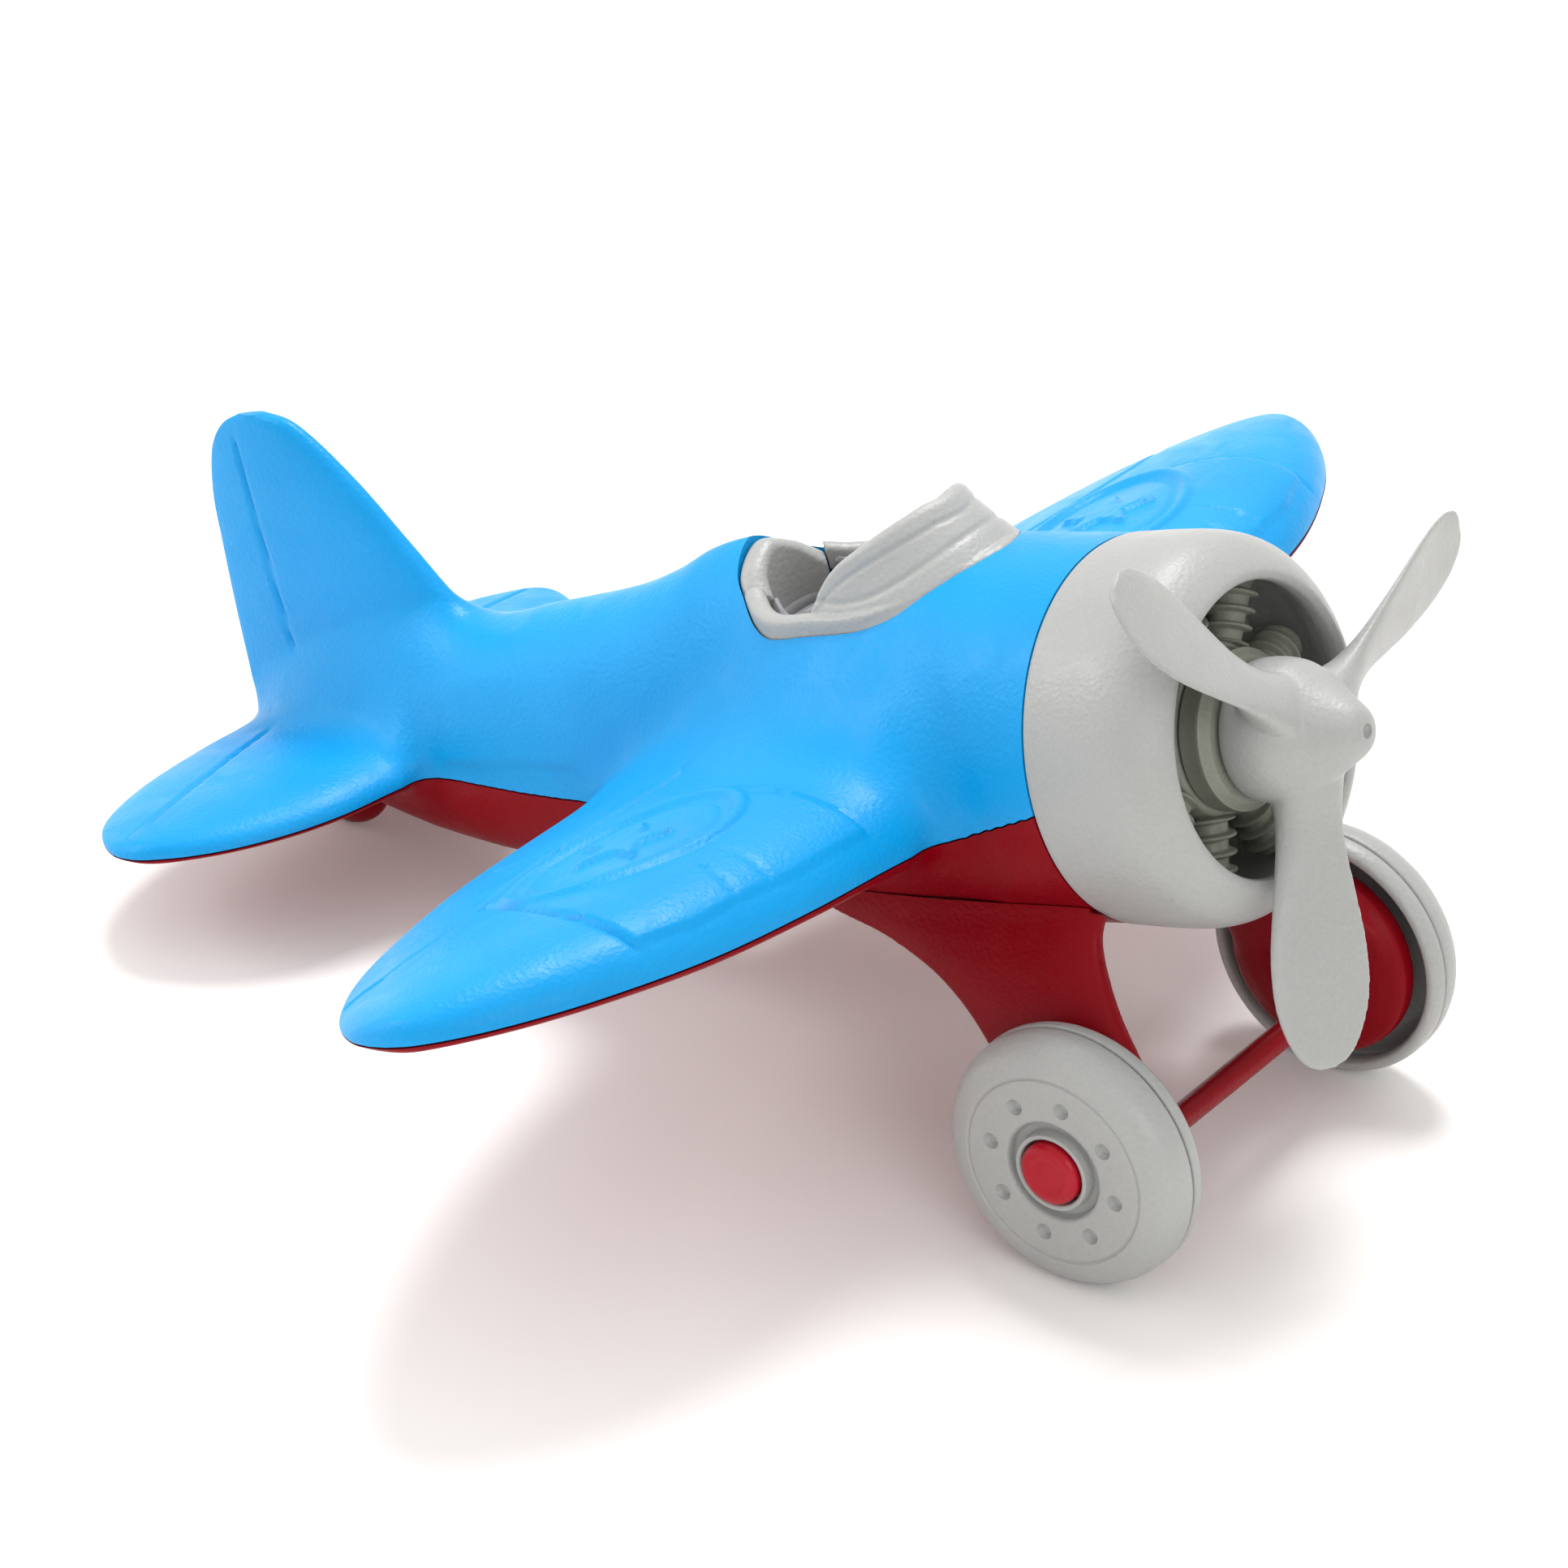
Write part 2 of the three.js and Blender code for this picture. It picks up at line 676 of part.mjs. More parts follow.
function axlePin(side) {
  const outline = [
    [29.2, 0],
    [29.2, AXLE_RADIUS],
    [40.6, AXLE_RADIUS],
    [40.6, 5.1],
    [43.9, 5.1],
    [44.5, 4.4],
    [44.6, 0],
  ];
  return onAxle(turned(outline, 24), side);
}

function spreaderBar() {
  return bar("y", BAR_RADIUS, -27.2, 27.2, BAR, 16);
}

function tailSkid() {
  const ball = new THREE.SphereGeometry(1, 16, 10).scale(9, 5, 9.5);
  ball.translate(SKID.x + 1.5, 0, SKID.z + 9.5);
  const foot = solid(ball).subtract(fuselage(-GAP));
  const lowest = foot.intersect(box([-230, -10, -40], [-180, 10, SKID.z + 9]));
  const peg = bar("z", 2, SKID.z + 6, -3, { x: SKID.x + 6, y: 0 }, 12);
  return lowest.add(peg);
}

// ---------------------------------------------------------------- assembly

const skin = airframeSkin();
const space = airframeSpace();

const PIECES = [
  ["upper_shell", upperShell(skin, space), FINISH.blue],
  ["lower_shell", lowerShell(skin, space), FINISH.red],
  ["cowling", cowling(), FINISH.grey],
  ["engine_block", engineBlock(), FINISH.darkGrey],
  ["crankcase", crankcase(), FINISH.darkGrey],
  ["propeller", propeller(), FINISH.grey],
  ["propeller_shaft", propellerShaft(), FINISH.grey],
  ["shaft_clip", shaftClip(), FINISH.grey],
  ["cockpit_frame", cockpitFrame(), FINISH.grey],
  ["headrest", headrest(), FINISH.grey],
  ["seat_tub", seatTub(), FINISH.grey],
  ["spreader_bar", spreaderBar(), FINISH.red],
  ["tail_skid", tailSkid(), FINISH.red],
];
for (const [name, side] of [["left", 1], ["right", -1]]) {
  PIECES.push(["leg_" + name, leg(side), FINISH.red]);
  PIECES.push(["wheel_face_" + name, wheelFace(side), FINISH.grey]);
  PIECES.push(["wheel_rim_" + name, wheelRim(side), FINISH.grey]);
  PIECES.push(["axle_pin_" + name, axlePin(side), FINISH.red]);
}

// The nose-up angle at which the wheels and the skid both touch the ground.
function stanceAngle() {
  const back = AXLE.x - SKID.x;
  const down = SKID.z - AXLE.z;
  return Math.asin(WHEEL_RADIUS / Math.hypot(back, down)) + Math.atan2(down, back);
}

const aeroplane = new THREE.Group();
for (const [name, shape, finish] of PIECES) {
  const mesh = new THREE.Mesh(geometryOf(shape), finish.clone());
  mesh.name = name;
  aeroplane.add(mesh);
}
aeroplane.rotation.y = -stanceAngle();

const group = new THREE.Group();
group.add(aeroplane);
group.updateMatrixWorld(true);
const extent = new THREE.Box3().setFromObject(group, true);
aeroplane.position.set(-(extent.min.x + extent.max.x) / 2, 0, -extent.min.z);
group.updateMatrixWorld(true);

export default group;
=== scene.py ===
import json
import math

import bpy
import numpy as np
from mathutils import Matrix, Vector
from mathutils.kdtree import KDTree


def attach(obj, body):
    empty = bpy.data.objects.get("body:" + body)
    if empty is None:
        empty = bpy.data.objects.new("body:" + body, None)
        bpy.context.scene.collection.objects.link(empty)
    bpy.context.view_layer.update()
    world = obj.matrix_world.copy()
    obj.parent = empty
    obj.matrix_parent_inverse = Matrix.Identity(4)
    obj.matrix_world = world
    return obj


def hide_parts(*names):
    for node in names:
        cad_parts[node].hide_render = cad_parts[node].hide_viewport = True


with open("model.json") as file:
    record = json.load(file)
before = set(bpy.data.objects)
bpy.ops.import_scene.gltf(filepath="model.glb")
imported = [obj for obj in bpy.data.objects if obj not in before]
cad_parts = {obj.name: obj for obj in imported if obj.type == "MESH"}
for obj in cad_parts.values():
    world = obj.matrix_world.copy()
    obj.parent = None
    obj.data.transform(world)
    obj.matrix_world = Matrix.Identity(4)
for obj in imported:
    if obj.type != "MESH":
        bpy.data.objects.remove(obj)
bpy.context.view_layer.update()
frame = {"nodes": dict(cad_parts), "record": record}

# ---------------------------------------------------------------- camera

SENSOR_MM = 36.0
IMAGE_PX = 1932
FOCAL_PX = 8052.7
CAMERA_AT = (0.527266, -0.723093, 0.571113)
CAMERA_RIGHT = (0.807149, 0.590305, 0.007133)
CAMERA_UP = (-0.307084, 0.409508, 0.859070)
CAMERA_BACK = (0.504192, -0.695589, 0.511808)


def make_camera():
    data = bpy.data.cameras.new("camera")
    data.sensor_width = SENSOR_MM
    data.lens = FOCAL_PX / IMAGE_PX * SENSOR_MM
    data.clip_start = 0.05
    data.clip_end = 20
    camera = bpy.data.objects.new("camera", data)
    axes = Matrix((CAMERA_RIGHT, CAMERA_UP, CAMERA_BACK)).transposed().to_4x4()
    camera.matrix_world = Matrix.Translation(CAMERA_AT) @ axes
    bpy.context.collection.objects.link(camera)
    bpy.context.scene.camera = camera


make_camera()

# ---------------------------------------------------------------- the plane's own frame

# Shapes are made level, in mm: x forward from the propeller's plane, y to the left,
# z up from the thrust line.
MM_PER_M = 1000
JOINTS = {joint["name"]: joint for joint in frame["record"]["behaviour"]["joints"]}
THRUST_AT = np.array(JOINTS["propeller_spin"]["pos_m"])
FORWARD = np.array(JOINTS["propeller_spin"]["axis"])
FORWARD = FORWARD / np.linalg.norm(FORWARD)
UPWARD = np.array([-FORWARD[2], 0.0, FORWARD[0]])
LEFTWARD = np.array([0, 1, 0])
AXLE_AT = np.array(JOINTS["wheel_left_spin"]["pos_m"]) * (1, 0, 1)
AXLE_X = float((AXLE_AT - THRUST_AT) @ FORWARD * MM_PER_M)
AXLE_Z = float((AXLE_AT - THRUST_AT) @ UPWARD * MM_PER_M)
AXLE = (AXLE_X, 0, AXLE_Z)

# half of the space between the two mouldings
GAP = 0.15
COWL_REAR = -29.5
FUSELAGE_FRONT = -29.8
BAR = (AXLE_X + 4.1, 0, AXLE_Z - 4.2)
SKID_X, SKID_Z = -200.9, -19.3
RUDDER_X = -200.4
# where the windscreen's rim ends and the arch behind the seat begins
REAR_ARCH = -90.4
BLADES = 3
CYLINDERS = 9
DIMPLES = 8
COCKPIT_RIBS = 26

# x, top, widest level, bottom, half width, squareness of belly, squareness of crown
FUSELAGE = [
    [FUSELAGE_FRONT, 29.6, 0, -29.6, 29.6, 2, 2],
    [-45, 30, -1, -29.6, 29.3, 2, 2],
    [-62, 30.6, -2, -28.8, 28, 2.1, 2],
    [-78, 31.4, -3, -27.8, 26.2, 2.2, 2],
    [-86, 32.1, -3.5, -27.2, 24.8, 2.2, 1.8],
    [-96, 31.9, -4.2, -26.5, 23.2, 2.3, 1.5],
    [-105, 29.9, -4.5, -25.8, 21.6, 2.4, 1.55],
    [-113, 26.5, -4.5, -25.1, 20.3, 2.5, 1.75],
    [-124, 23.1, -4.5, -24, 18.6, 2.6, 2],
    [-140, 20.5, -4.2, -22.4, 16.8, 2.8, 2],
    [-156, 18.4, -3.9, -20.6, 15.2, 3, 2],
    [-172, 15.5, -3, -17.6, 13.2, 3, 2],
    [-188, 12, -1.6, -13.4, 10.6, 2.8, 2],
    [-202, 8, -0.4, -8.4, 7.2, 2.5, 2],
    [-212, 4.5, 0.6, -3.4, 4, 2.2, 2],
]

# y, leading edge, trailing edge, rise above and drop below the parting edge
WING = [
    [0, -44, -128, 14, 5],
    [20, -46, -127, 13.5, 4.5],
    [40, -48.5, -124.5, 12, 4],
    [60, -49.3, -121, 10.5, 3.2],
    [80, -52.2, -115, 9, 2.6],
    [96, -58.5, -108.6, 7.6, 2],
    [106, -64.5, -102.8, 6, 1.6],
    [114, -71.5, -96.3, 4, 1.2],
    [118.4, -77.8, -89.8, 2.2, 0.9],
    [119.6, -82, -85.4, 1, 0.7],
]

TAILPLANE = [
    [0, -162, -213, 5.4, 3],
    [10, -165, -214, 4.9, 2.4],
    [20, -168.3, -214.6, 4.3, 1.9],
    [30, -170.8, -214.4, 3.7, 1.5],
    [38.5, -174.8, -213, 3.1, 1.2],
    [46.2, -180.8, -210, 2.4, 0.9],
    [51.2, -187, -205.6, 1.7, 0.7],
    [54.2, -193, -200.8, 1.1, 0.6],
    [54.9, -195.6, -198.4, 0.8, 0.5],
]

# z, leading edge, trailing edge, half thickness
FIN = [
    [54.6, -194, -200, 1],
    [53, -189, -204.2, 1.6],
    [49.4, -184.6, -207.8, 2.2],
    [41, -177.3, -211, 2.8],
    [31, -170.3, -212.4, 3.4],
    [20.6, -163, -213.6, 4],
    [8, -152, -214.7, 4.4],
    [0, -148, -215.3, 4.5],
]

# x, height of the parting edge at the centre line, climb per mm outwards
PARTING = [
    [-20, -1.5, 0],
    [-30, -1.5, 0],
    [-46, -8.1, 0.082],
    [-126, -8.1, 0.082],
    [-145, -6.6, 0.04],
    [-165, -4.5, 0],
    [-220, 1, 0],
]

# x, half width of the cockpit's opening, from the front to the rear
COCKPIT = [
    [-46.3, 0],
    [-47.6, 4.5],
    [-50.2, 8.4],
    [-55, 13.2],
    [-64, 17.1],
    [-76.5, 17.8],
    [-83, 17],
    [-87.5, 14.6],
    [-92, 10.4],
    [-95.4, 6.5],
    [-96.8, 0],
]
COCKPIT_MIDDLE = np.array([-71.0, 0])
COCKPIT_HALF = np.array([26.6, 17.8])

# radius, chord, thickness, pitch in degrees
BLADE = [
    [4, 12.5, 11, 50],
    [9, 11, 9, 47],
    [13, 10.3, 6.2, 44],
    [18, 11, 4.4, 38],
    [26, 13.9, 3.3, 31],
    [34, 16.5, 2.7, 27],
    [41, 16.4, 2.3, 24],
    [46.5, 13.2, 2, 21],
    [49.8, 8.4, 1.6, 20],
    [51.1, 3, 1.1, 19],
]
PROPELLER_REST = math.radians(14)

# ---------------------------------------------------------------- curves


def catmull(rows, t, closed=False):
    """Values at t, from 0 to 1, on centripetal Catmull-Rom curves through the rows.

    Each three columns make one curve, and the columns left over make the last.
    """
    rows = np.array(rows, float)
    count, width = rows.shape
    spans = count if closed else count - 1
    at = spans * t
    first = np.minimum(np.floor(at).astype(int), spans - 1)
    share = (at - first)[:, None]
    out = np.empty((len(at), width))
    for c in range(0, width, 3):
        col = rows[:, c : c + 3]
        if closed:
            ext = np.vstack([col[-1], col, col[0], col[1]])
        else:
            ext = np.vstack([2 * col[0] - col[1], col, 2 * col[-1] - col[-2]])
        p0, p1, p2, p3 = (ext[first + k] for k in range(4))
        d0, d1, d2 = (
            ((b - a) ** 2).sum(1, keepdims=True) ** 0.25
            for a, b in ((p0, p1), (p1, p2), (p2, p3))
        )
        d1 = np.where(d1 < 1e-4, 1, d1)
        d0 = np.where(d0 < 1e-4, d1, d0)
        d2 = np.where(d2 < 1e-4, d1, d2)
        t1 = ((p1 - p0) / d0 - (p2 - p0) / (d0 + d1) + (p2 - p1) / d1) * d1
        t2 = ((p2 - p1) / d1 - (p3 - p1) / (d1 + d2) + (p3 - p2) / d2) * d1
        c2 = -3 * p1 + 3 * p2 - 2 * t1 - t2
        c3 = 2 * p1 - 2 * p2 + t1 + t2
        out[:, c : c + 3] = p1 + share * (t1 + share * (c2 + share * c3))
    return out


def signed_power(value, power):
    return np.sign(value) * np.abs(value) ** power


def smooth(low, high, value):
    """A soft step from 0 at low to 1 at high."""
    t = np.clip((value - low) / (high - low), 0, 1)
    return t * t * (3 - 2 * t)


def near(points, x, y):
    """Distance from each place to a polyline in the plane."""
    best = np.full(np.shape(x), 1e9)
    for (ax, ay), (bx, by) in zip(points, points[1:]):
        dx, dy = bx - ax, by - ay
        k = np.clip(((x - ax) * dx + (y - ay) * dy) / (dx * dx + dy * dy), 0, 1)
        best = np.minimum(best, np.hypot(x - ax - k * dx, y - ay - k * dy))
    return best


def groove(distance, depth, width):
    return -depth * np.exp(-((distance / width) ** 2))


# ---------------------------------------------------------------- meshes


def new_object(name, points, faces):
    mesh = bpy.data.meshes.new(name)
    mesh.from_pydata([tuple(p) for p in points], [], [tuple(f) for f in faces])
    mesh.update()
    obj = bpy.data.objects.new(name, mesh)
    bpy.context.collection.objects.link(obj)
    return obj


def volume(points, faces):
    """A body's volume from its four-cornered faces; negative when they turn inwards."""
    total = 0.0
    for face in (faces[:, [0, 1, 2]], faces[:, [0, 2, 3]]):
        a, b, c = (points[face[:, k]] for k in range(3))
        total += (a * np.cross(b, c)).sum()
    return total / 6


def rings(name, grid, closed=False):
    """A closed body from rings of points, grid[ring, point], with fans at its ends or joined end to end."""
    grid = np.asarray(grid, float)
    m, n = grid.shape[:2]
    points = grid.reshape(-1, 3)
    i, j = np.meshgrid(np.arange(m if closed else m - 1), np.arange(n), indexing="ij")
    i, j = i.ravel(), j.ravel()
    after, side = (i + 1) % m, (j + 1) % n
    faces = np.stack([i * n + j, after * n + j, after * n + side, i * n + side], 1)
    fans = np.empty((0, 3), int)
    if not closed:
        ends = np.array([grid[0].mean(0), grid[-1].mean(0)])
        points = np.vstack([points, ends])
        k = np.arange(n)
        start, stop = np.full(n, m * n), np.full(n, m * n + 1)
        fans = np.vstack([
            np.stack([start, k, (k + 1) % n], 1),
            np.stack([stop, (m - 1) * n + (k + 1) % n, (m - 1) * n + k], 1),
        ])
    quads = np.vstack([faces, fans[:, [0, 1, 2, 2]]])
    step = -1 if volume(points, quads) < 0 else 1
    return new_object(name, points, [face[::step] for face in faces.tolist() + fans.tolist()])


def lathe(name, outline, sides, axis="x", at=(0, 0, 0)):
    """An outline of (along, radius) turned about x or y, from axis to axis or joined end to end."""
    outline = np.array(outline, float)
    angle = np.linspace(0, 2 * np.pi, sides, endpoint=False)
    on_axis = outline[0, 1] < 1e-6 and outline[-1, 1] < 1e-6
    rows = outline[1:-1] if on_axis else outline
    along = rows[:, :1] + 0 * angle
    a = rows[:, 1:] * np.cos(angle)
    b = rows[:, 1:] * np.sin(angle)
    grid = np.stack([along, a, b], 2) if axis == "x" else np.stack([a, along, b], 2)
    return rings(name, grid + np.array(at), closed=not on_axis)


def rod(start, end, radius):
    """The outline of a plain round bar, from start to end along its axis."""
    return [(start, 0), (start, radius), (end, radius), (end, 0)]


def rounded(outline, radius, steps=5):
    """The outline with each corner turned into a small arc."""
    pts = [np.array(p, float) for p in outline]
    out = []
    for k, p in enumerate(pts):
        a, b = pts[k - 1], pts[(k + 1) % len(pts)]
        la, lb = np.linalg.norm(a - p), np.linalg.norm(b - p)
        cut = min(radius, 0.45 * la, 0.45 * lb)
        start, end = p + (a - p) / la * cut, p + (b - p) / lb * cut
        for s in np.linspace(0, 1, steps):
            out.append((1 - s) ** 2 * start + 2 * s * (1 - s) * p + s * s * end)
    return np.array(out)


def applied(obj):
    """Turns the object's modifiers into its mesh."""
    graph = bpy.context.evaluated_depsgraph_get()
    made = bpy.data.meshes.new_from_object(obj.evaluated_get(graph))
    old = obj.data
    obj.modifiers.clear()
    obj.data = made
    bpy.data.meshes.remove(old)
    return obj


def combine(obj, other, operation):
    """Joins, cuts or limits the object by the other, which is used up."""
    step = obj.modifiers.new("combine", "BOOLEAN")
    step.operation = operation
    step.solver = "MANIFOLD"
    step.object = other
    applied(obj)
    bpy.data.objects.remove(other)
    return obj


def join(first, *others):
    for other in others:
        combine(first, other, "UNION")
    return first


def cut(obj, other):
    return combine(obj, other, "DIFFERENCE")


def bevelled(obj, width, segments):
    step = obj.modifiers.new("round", "BEVEL")
    step.width = width
    step.segments = segments
    return applied(obj)


def copy_of(obj, name):
    twin = bpy.data.objects.new(name, obj.data.copy())
    bpy.context.collection.objects.link(twin)
    return twin


def melted(obj, voxel, times):
    """One skin over all that overlaps, with soft inner corners."""
    step = obj.modifiers.new("skin", "REMESH")
    step.mode = "VOXEL"
    step.voxel_size = voxel
    step = obj.modifiers.new("soften", "SMOOTH")
    step.factor = 0.5
    step.iterations = times
    return applied(obj)


def moved(obj, change):
    """Moves every vertex: change takes and returns an array of points."""
    mesh = obj.data
    points = np.empty(len(mesh.vertices) * 3)
    mesh.vertices.foreach_get("co", points)
    mesh.vertices.foreach_set("co", change(points.reshape(-1, 3)).ravel())
    mesh.update()
    return obj


def relaxed(obj, seam, radius, times):
    """Lets the skin flow smoothly within this distance of a seam's points."""
    all_edges = np.empty(len(obj.data.edges) * 2, dtype=np.int64)
    obj.data.edges.foreach_get("vertices", all_edges)
    all_edges = all_edges.reshape(-1, 2)
    tree = KDTree(len(seam))
    for k, place in enumerate(seam):
        tree.insert(place, k)
    tree.balance()
    low, high = seam.min(0) - radius, seam.max(0) + radius
    free_within = radius * 0.35
    pull = 0.6

    def flow(points):
        count = len(points)
        close = np.nonzero(((points > low) & (points < high)).all(1))[0]
        weight = np.zeros(count)
        for k in close:
            weight[k] = tree.find(points[k])[2]
        weight[close] = smooth(radius, free_within, weight[close])
        edges = all_edges[(weight[all_edges] > 0).any(1)]
        here, there = np.concatenate([edges, edges[:, ::-1]]).T
        neighbours = np.maximum(np.bincount(here, minlength=count), 1)
        for _ in range(times):
            sums = [np.bincount(here, points[there, axis], count) for axis in range(3)]
            mean = np.stack(sums, 1) / neighbours[:, None]
            points = points + pull * weight[:, None] * (mean - points)
        return points

    return moved(obj, flow)


def box_between(name, low, high):
    """A box from its low corner to its high corner."""
    (x0, y0, z0), (x1, y1, z1) = low, high
    lower = [(x0, y0, z0), (x1, y0, z0), (x1, y1, z0), (x0, y1, z0)]
    upper = [(x, y, z1) for x, y, _ in lower]
    faces = [(3, 2, 1, 0), (4, 5, 6, 7), (0, 1, 5, 4), (1, 2, 6, 5), (2, 3, 7, 6), (3, 0, 4, 7)]
    return new_object(name, lower + upper, faces)


def placed(points):
    """The plane's own mm turned and moved into the row frame's metres."""
    x, y, z = points[:, :1], points[:, 1:2], points[:, 2:]
    return THRUST_AT + (x * FORWARD + z * UPWARD) / MM_PER_M + LEFTWARD * y / MM_PER_M


def piece(obj, name, body, material, nodes, sharp=32):
    """Puts a finished shape in the row frame in place of the parts it stands for, which it hides."""
    moved(obj, placed)
    obj.name = name
    obj.data.name = name
    obj.data.materials.clear()
    obj.data.materials.append(material)
    obj.data.shade_smooth()
    obj.data.set_sharp_from_angle(angle=math.radians(sharp))
    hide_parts(*nodes)
    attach(obj, body)
    return obj


# ---------------------------------------------------------------- materials


def linear(rgb):
    """Linear shares of red, green and blue from their everyday values, 0 to 255."""
    return tuple(((c / 255 + 0.055) / 1.055) ** 2.4 if c > 10 else c / 255 / 12.92 for c in rgb)


def moulded_plastic(name, rgb, roughness, grain, mottle=0.05, speck=0.0, specular=0.45):
    """Moulded plastic: slow colour drift, a fine spark-eroded grain, flow marks and scattered specks."""
    material = bpy.data.materials.new(name)
    material.use_nodes = True
    tree = material.node_tree
    shader = tree.nodes["Principled BSDF"]
    link = tree.links.new

    def node(kind, **values):
        made = tree.nodes.new(kind)
        for key, value in values.items():
            if key in made.inputs:
                made.inputs[key].default_value = value
            else:
                setattr(made, key, value)
        return made

    place = node("ShaderNodeTexCoord")
    colour = linear(rgb)
    drift = node("ShaderNodeTexNoise", Scale=22.0, Detail=3.0, Roughness=0.55)
    flow = node("ShaderNodeTexNoise", Scale=160.0, Detail=2.0, Roughness=0.5, Distortion=0.6)
    fine = node("ShaderNodeTexNoise", Scale=1500.0, Detail=2.0, Roughness=0.6)
    pits = node("ShaderNodeTexVoronoi", Scale=1100.0)
    for texture in (drift, flow, fine, pits):
        link(place.outputs["Object"], texture.inputs["Vector"])

    darker = tuple(c * (1 - mottle) for c in colour) + (1,)
    lighter = tuple(min(1, c * (1 + mottle) + 0.004) for c in colour) + (1,)
    ramp = node("ShaderNodeValToRGB")
    ramp.color_ramp.elements[0].position = 0.35
    ramp.color_ramp.elements[0].color = darker
    ramp.color_ramp.elements[1].position = 0.65
    ramp.color_ramp.elements[1].color = lighter
    link(drift.outputs["Fac"], ramp.inputs["Fac"])

    tint = node("ShaderNodeMix", data_type="RGBA", blend_type="MULTIPLY")
    tint.inputs["Factor"].default_value = 1.0
    fleck = node("ShaderNodeValToRGB")
    shade = 1 - speck - 0.05
    fleck.color_ramp.elements[0].position = 0.30
    fleck.color_ramp.elements[0].color = (shade, shade, shade, 1)
    fleck.color_ramp.elements[1].position = 0.62
    fleck.color_ramp.elements[1].color = (1, 1, 1, 1)
    link(fine.outputs["Fac"], fleck.inputs["Fac"])
    link(ramp.outputs["Color"], tint.inputs["A"])
    link(fleck.outputs["Color"], tint.inputs["B"])
    link(tint.outputs["Result"], shader.inputs["Base Color"])

    shine = node("ShaderNodeMapRange")
    shine.inputs["From Min"].default_value = 0.3
    shine.inputs["From Max"].default_value = 0.7
    shine.inputs["To Min"].default_value = roughness - 0.06
    shine.inputs["To Max"].default_value = roughness + 0.08
    link(flow.outputs["Fac"], shine.inputs["Value"])
    link(shine.outputs["Result"], shader.inputs["Roughness"])

    height = node("ShaderNodeMath", operation="MULTIPLY_ADD")
    link(pits.outputs["Distance"], height.inputs[0])
    height.inputs[1].default_value = 0.7
    link(fine.outputs["Fac"], height.inputs[2])
    bump = node("ShaderNodeBump", Strength=grain, Distance=0.00012)
    link(height.outputs["Value"], bump.inputs["Height"])
    link(bump.outputs["Normal"], shader.inputs["Normal"])
    shader.inputs["Specular IOR Level"].default_value = specular
    shader.inputs["IOR"].default_value = 1.49
    return material


BLUE = moulded_plastic("blue_plastic", (0, 142, 206), roughness=0.4, grain=0.6, specular=0.22)
RED = moulded_plastic("red_plastic", (122, 0, 14), roughness=0.34, grain=0.4, mottle=0.07, specular=0.08)
GREY = moulded_plastic("grey_plastic", (156, 157, 155), roughness=0.4, grain=0.6, mottle=0.03)
# The engine's yellowish tint is the plastic's own colour; its tone darker than the grey plastic is painted
# shade of the recess inside the cowling.
ENGINE_TINT_AND_PAINTED_SHADE = moulded_plastic(
    "engine_plastic_tint_and_painted_shade", (132, 134, 122), roughness=0.5, grain=0.45, mottle=0.06, speck=0.05
)
# The lining is the same grey plastic as the rim; its darker tone is painted shade of the cockpit's hollow.
LINING_PAINTED_SHADE = moulded_plastic("lining_plastic_painted_shade", (128, 129, 132), roughness=0.42, grain=0.45)
PIN = moulded_plastic("pin_plastic", (160, 2, 26), roughness=0.28, grain=0.3, specular=0.25)

# ---------------------------------------------------------------- airframe

# x, level of the step along the fuselage's side behind the wing
CREASE = [(-108, 1.2), (-130, -0.6), (-152, -1.4), (-168, -1.8)]


def fuselage_section(x):
    """Top, widest level, bottom, half width and the two squarenesses at x."""
    table = catmull(FUSELAGE, np.linspace(0, 1, 400))
    order = np.argsort(table[:, 0])
    return [np.interp(x, table[order, 0], table[order, k]) for k in range(1, 7)]


def fuselage(inset=0.0, sides=160, steps=220, detail=True):
    t = np.linspace(0, 1, steps + 1)
    x, top, middle, bottom, half, belly, crown = (c[:, None] for c in catmull(FUSELAGE, t).T)
    angle = np.linspace(0, 2 * np.pi, sides, endpoint=False)[None]
    up, across = np.sin(angle), np.cos(angle)
    power = 2 / np.where(up < 0, belly, crown)
    height = np.where(up < 0, middle - bottom, top - middle) - inset
    y = (half - inset) * signed_power(across, power)
    z = middle + height * signed_power(up, power)
    x = x + 0 * y
    if detail:
        level = np.interp(-x, [-p[0] for p in CREASE], [p[1] for p in CREASE])
        fade = smooth(-106, -112, x) * smooth(-172, -166, x)
        under = 0.6 * smooth(0.35, -0.35, z - level) * smooth(-6, -3, z - level) * fade
        y = y - np.sign(y) * under
    return rings("fuselage", np.stack([x, y, z], 2))


def top_of_fuselage(x, y):
    top, middle, _, half, _, crown = fuselage_section(x)
    share = np.clip(np.abs(y) / half, 0, 1)
    return middle + (top - middle) * (1 - share**crown) ** (1 / crown)


def camber(u):
    u = np.clip(u, 0, 1)
    return 10 * (0.2969 * np.sqrt(u) - 0.126 * u - 0.3516 * u**2 + 0.2843 * u**3 - 0.1015 * u**4)


def outside_fuselage(x, y, z):
    """Distance from the fuselage's skin, measured away from its axis; negative inside."""
    top, middle, bottom, half, belly, crown = fuselage_section(x)
    over = z > middle
    reach = np.where(over, top - middle, middle - bottom)
    n = np.where(over, crown, belly)
    scale = ((np.abs(y) / half) ** n + (np.abs(z - middle) / reach) ** n) ** (1 / n)
    return np.hypot(y, z - middle) * (1 - 1 / np.maximum(scale, 0.05))


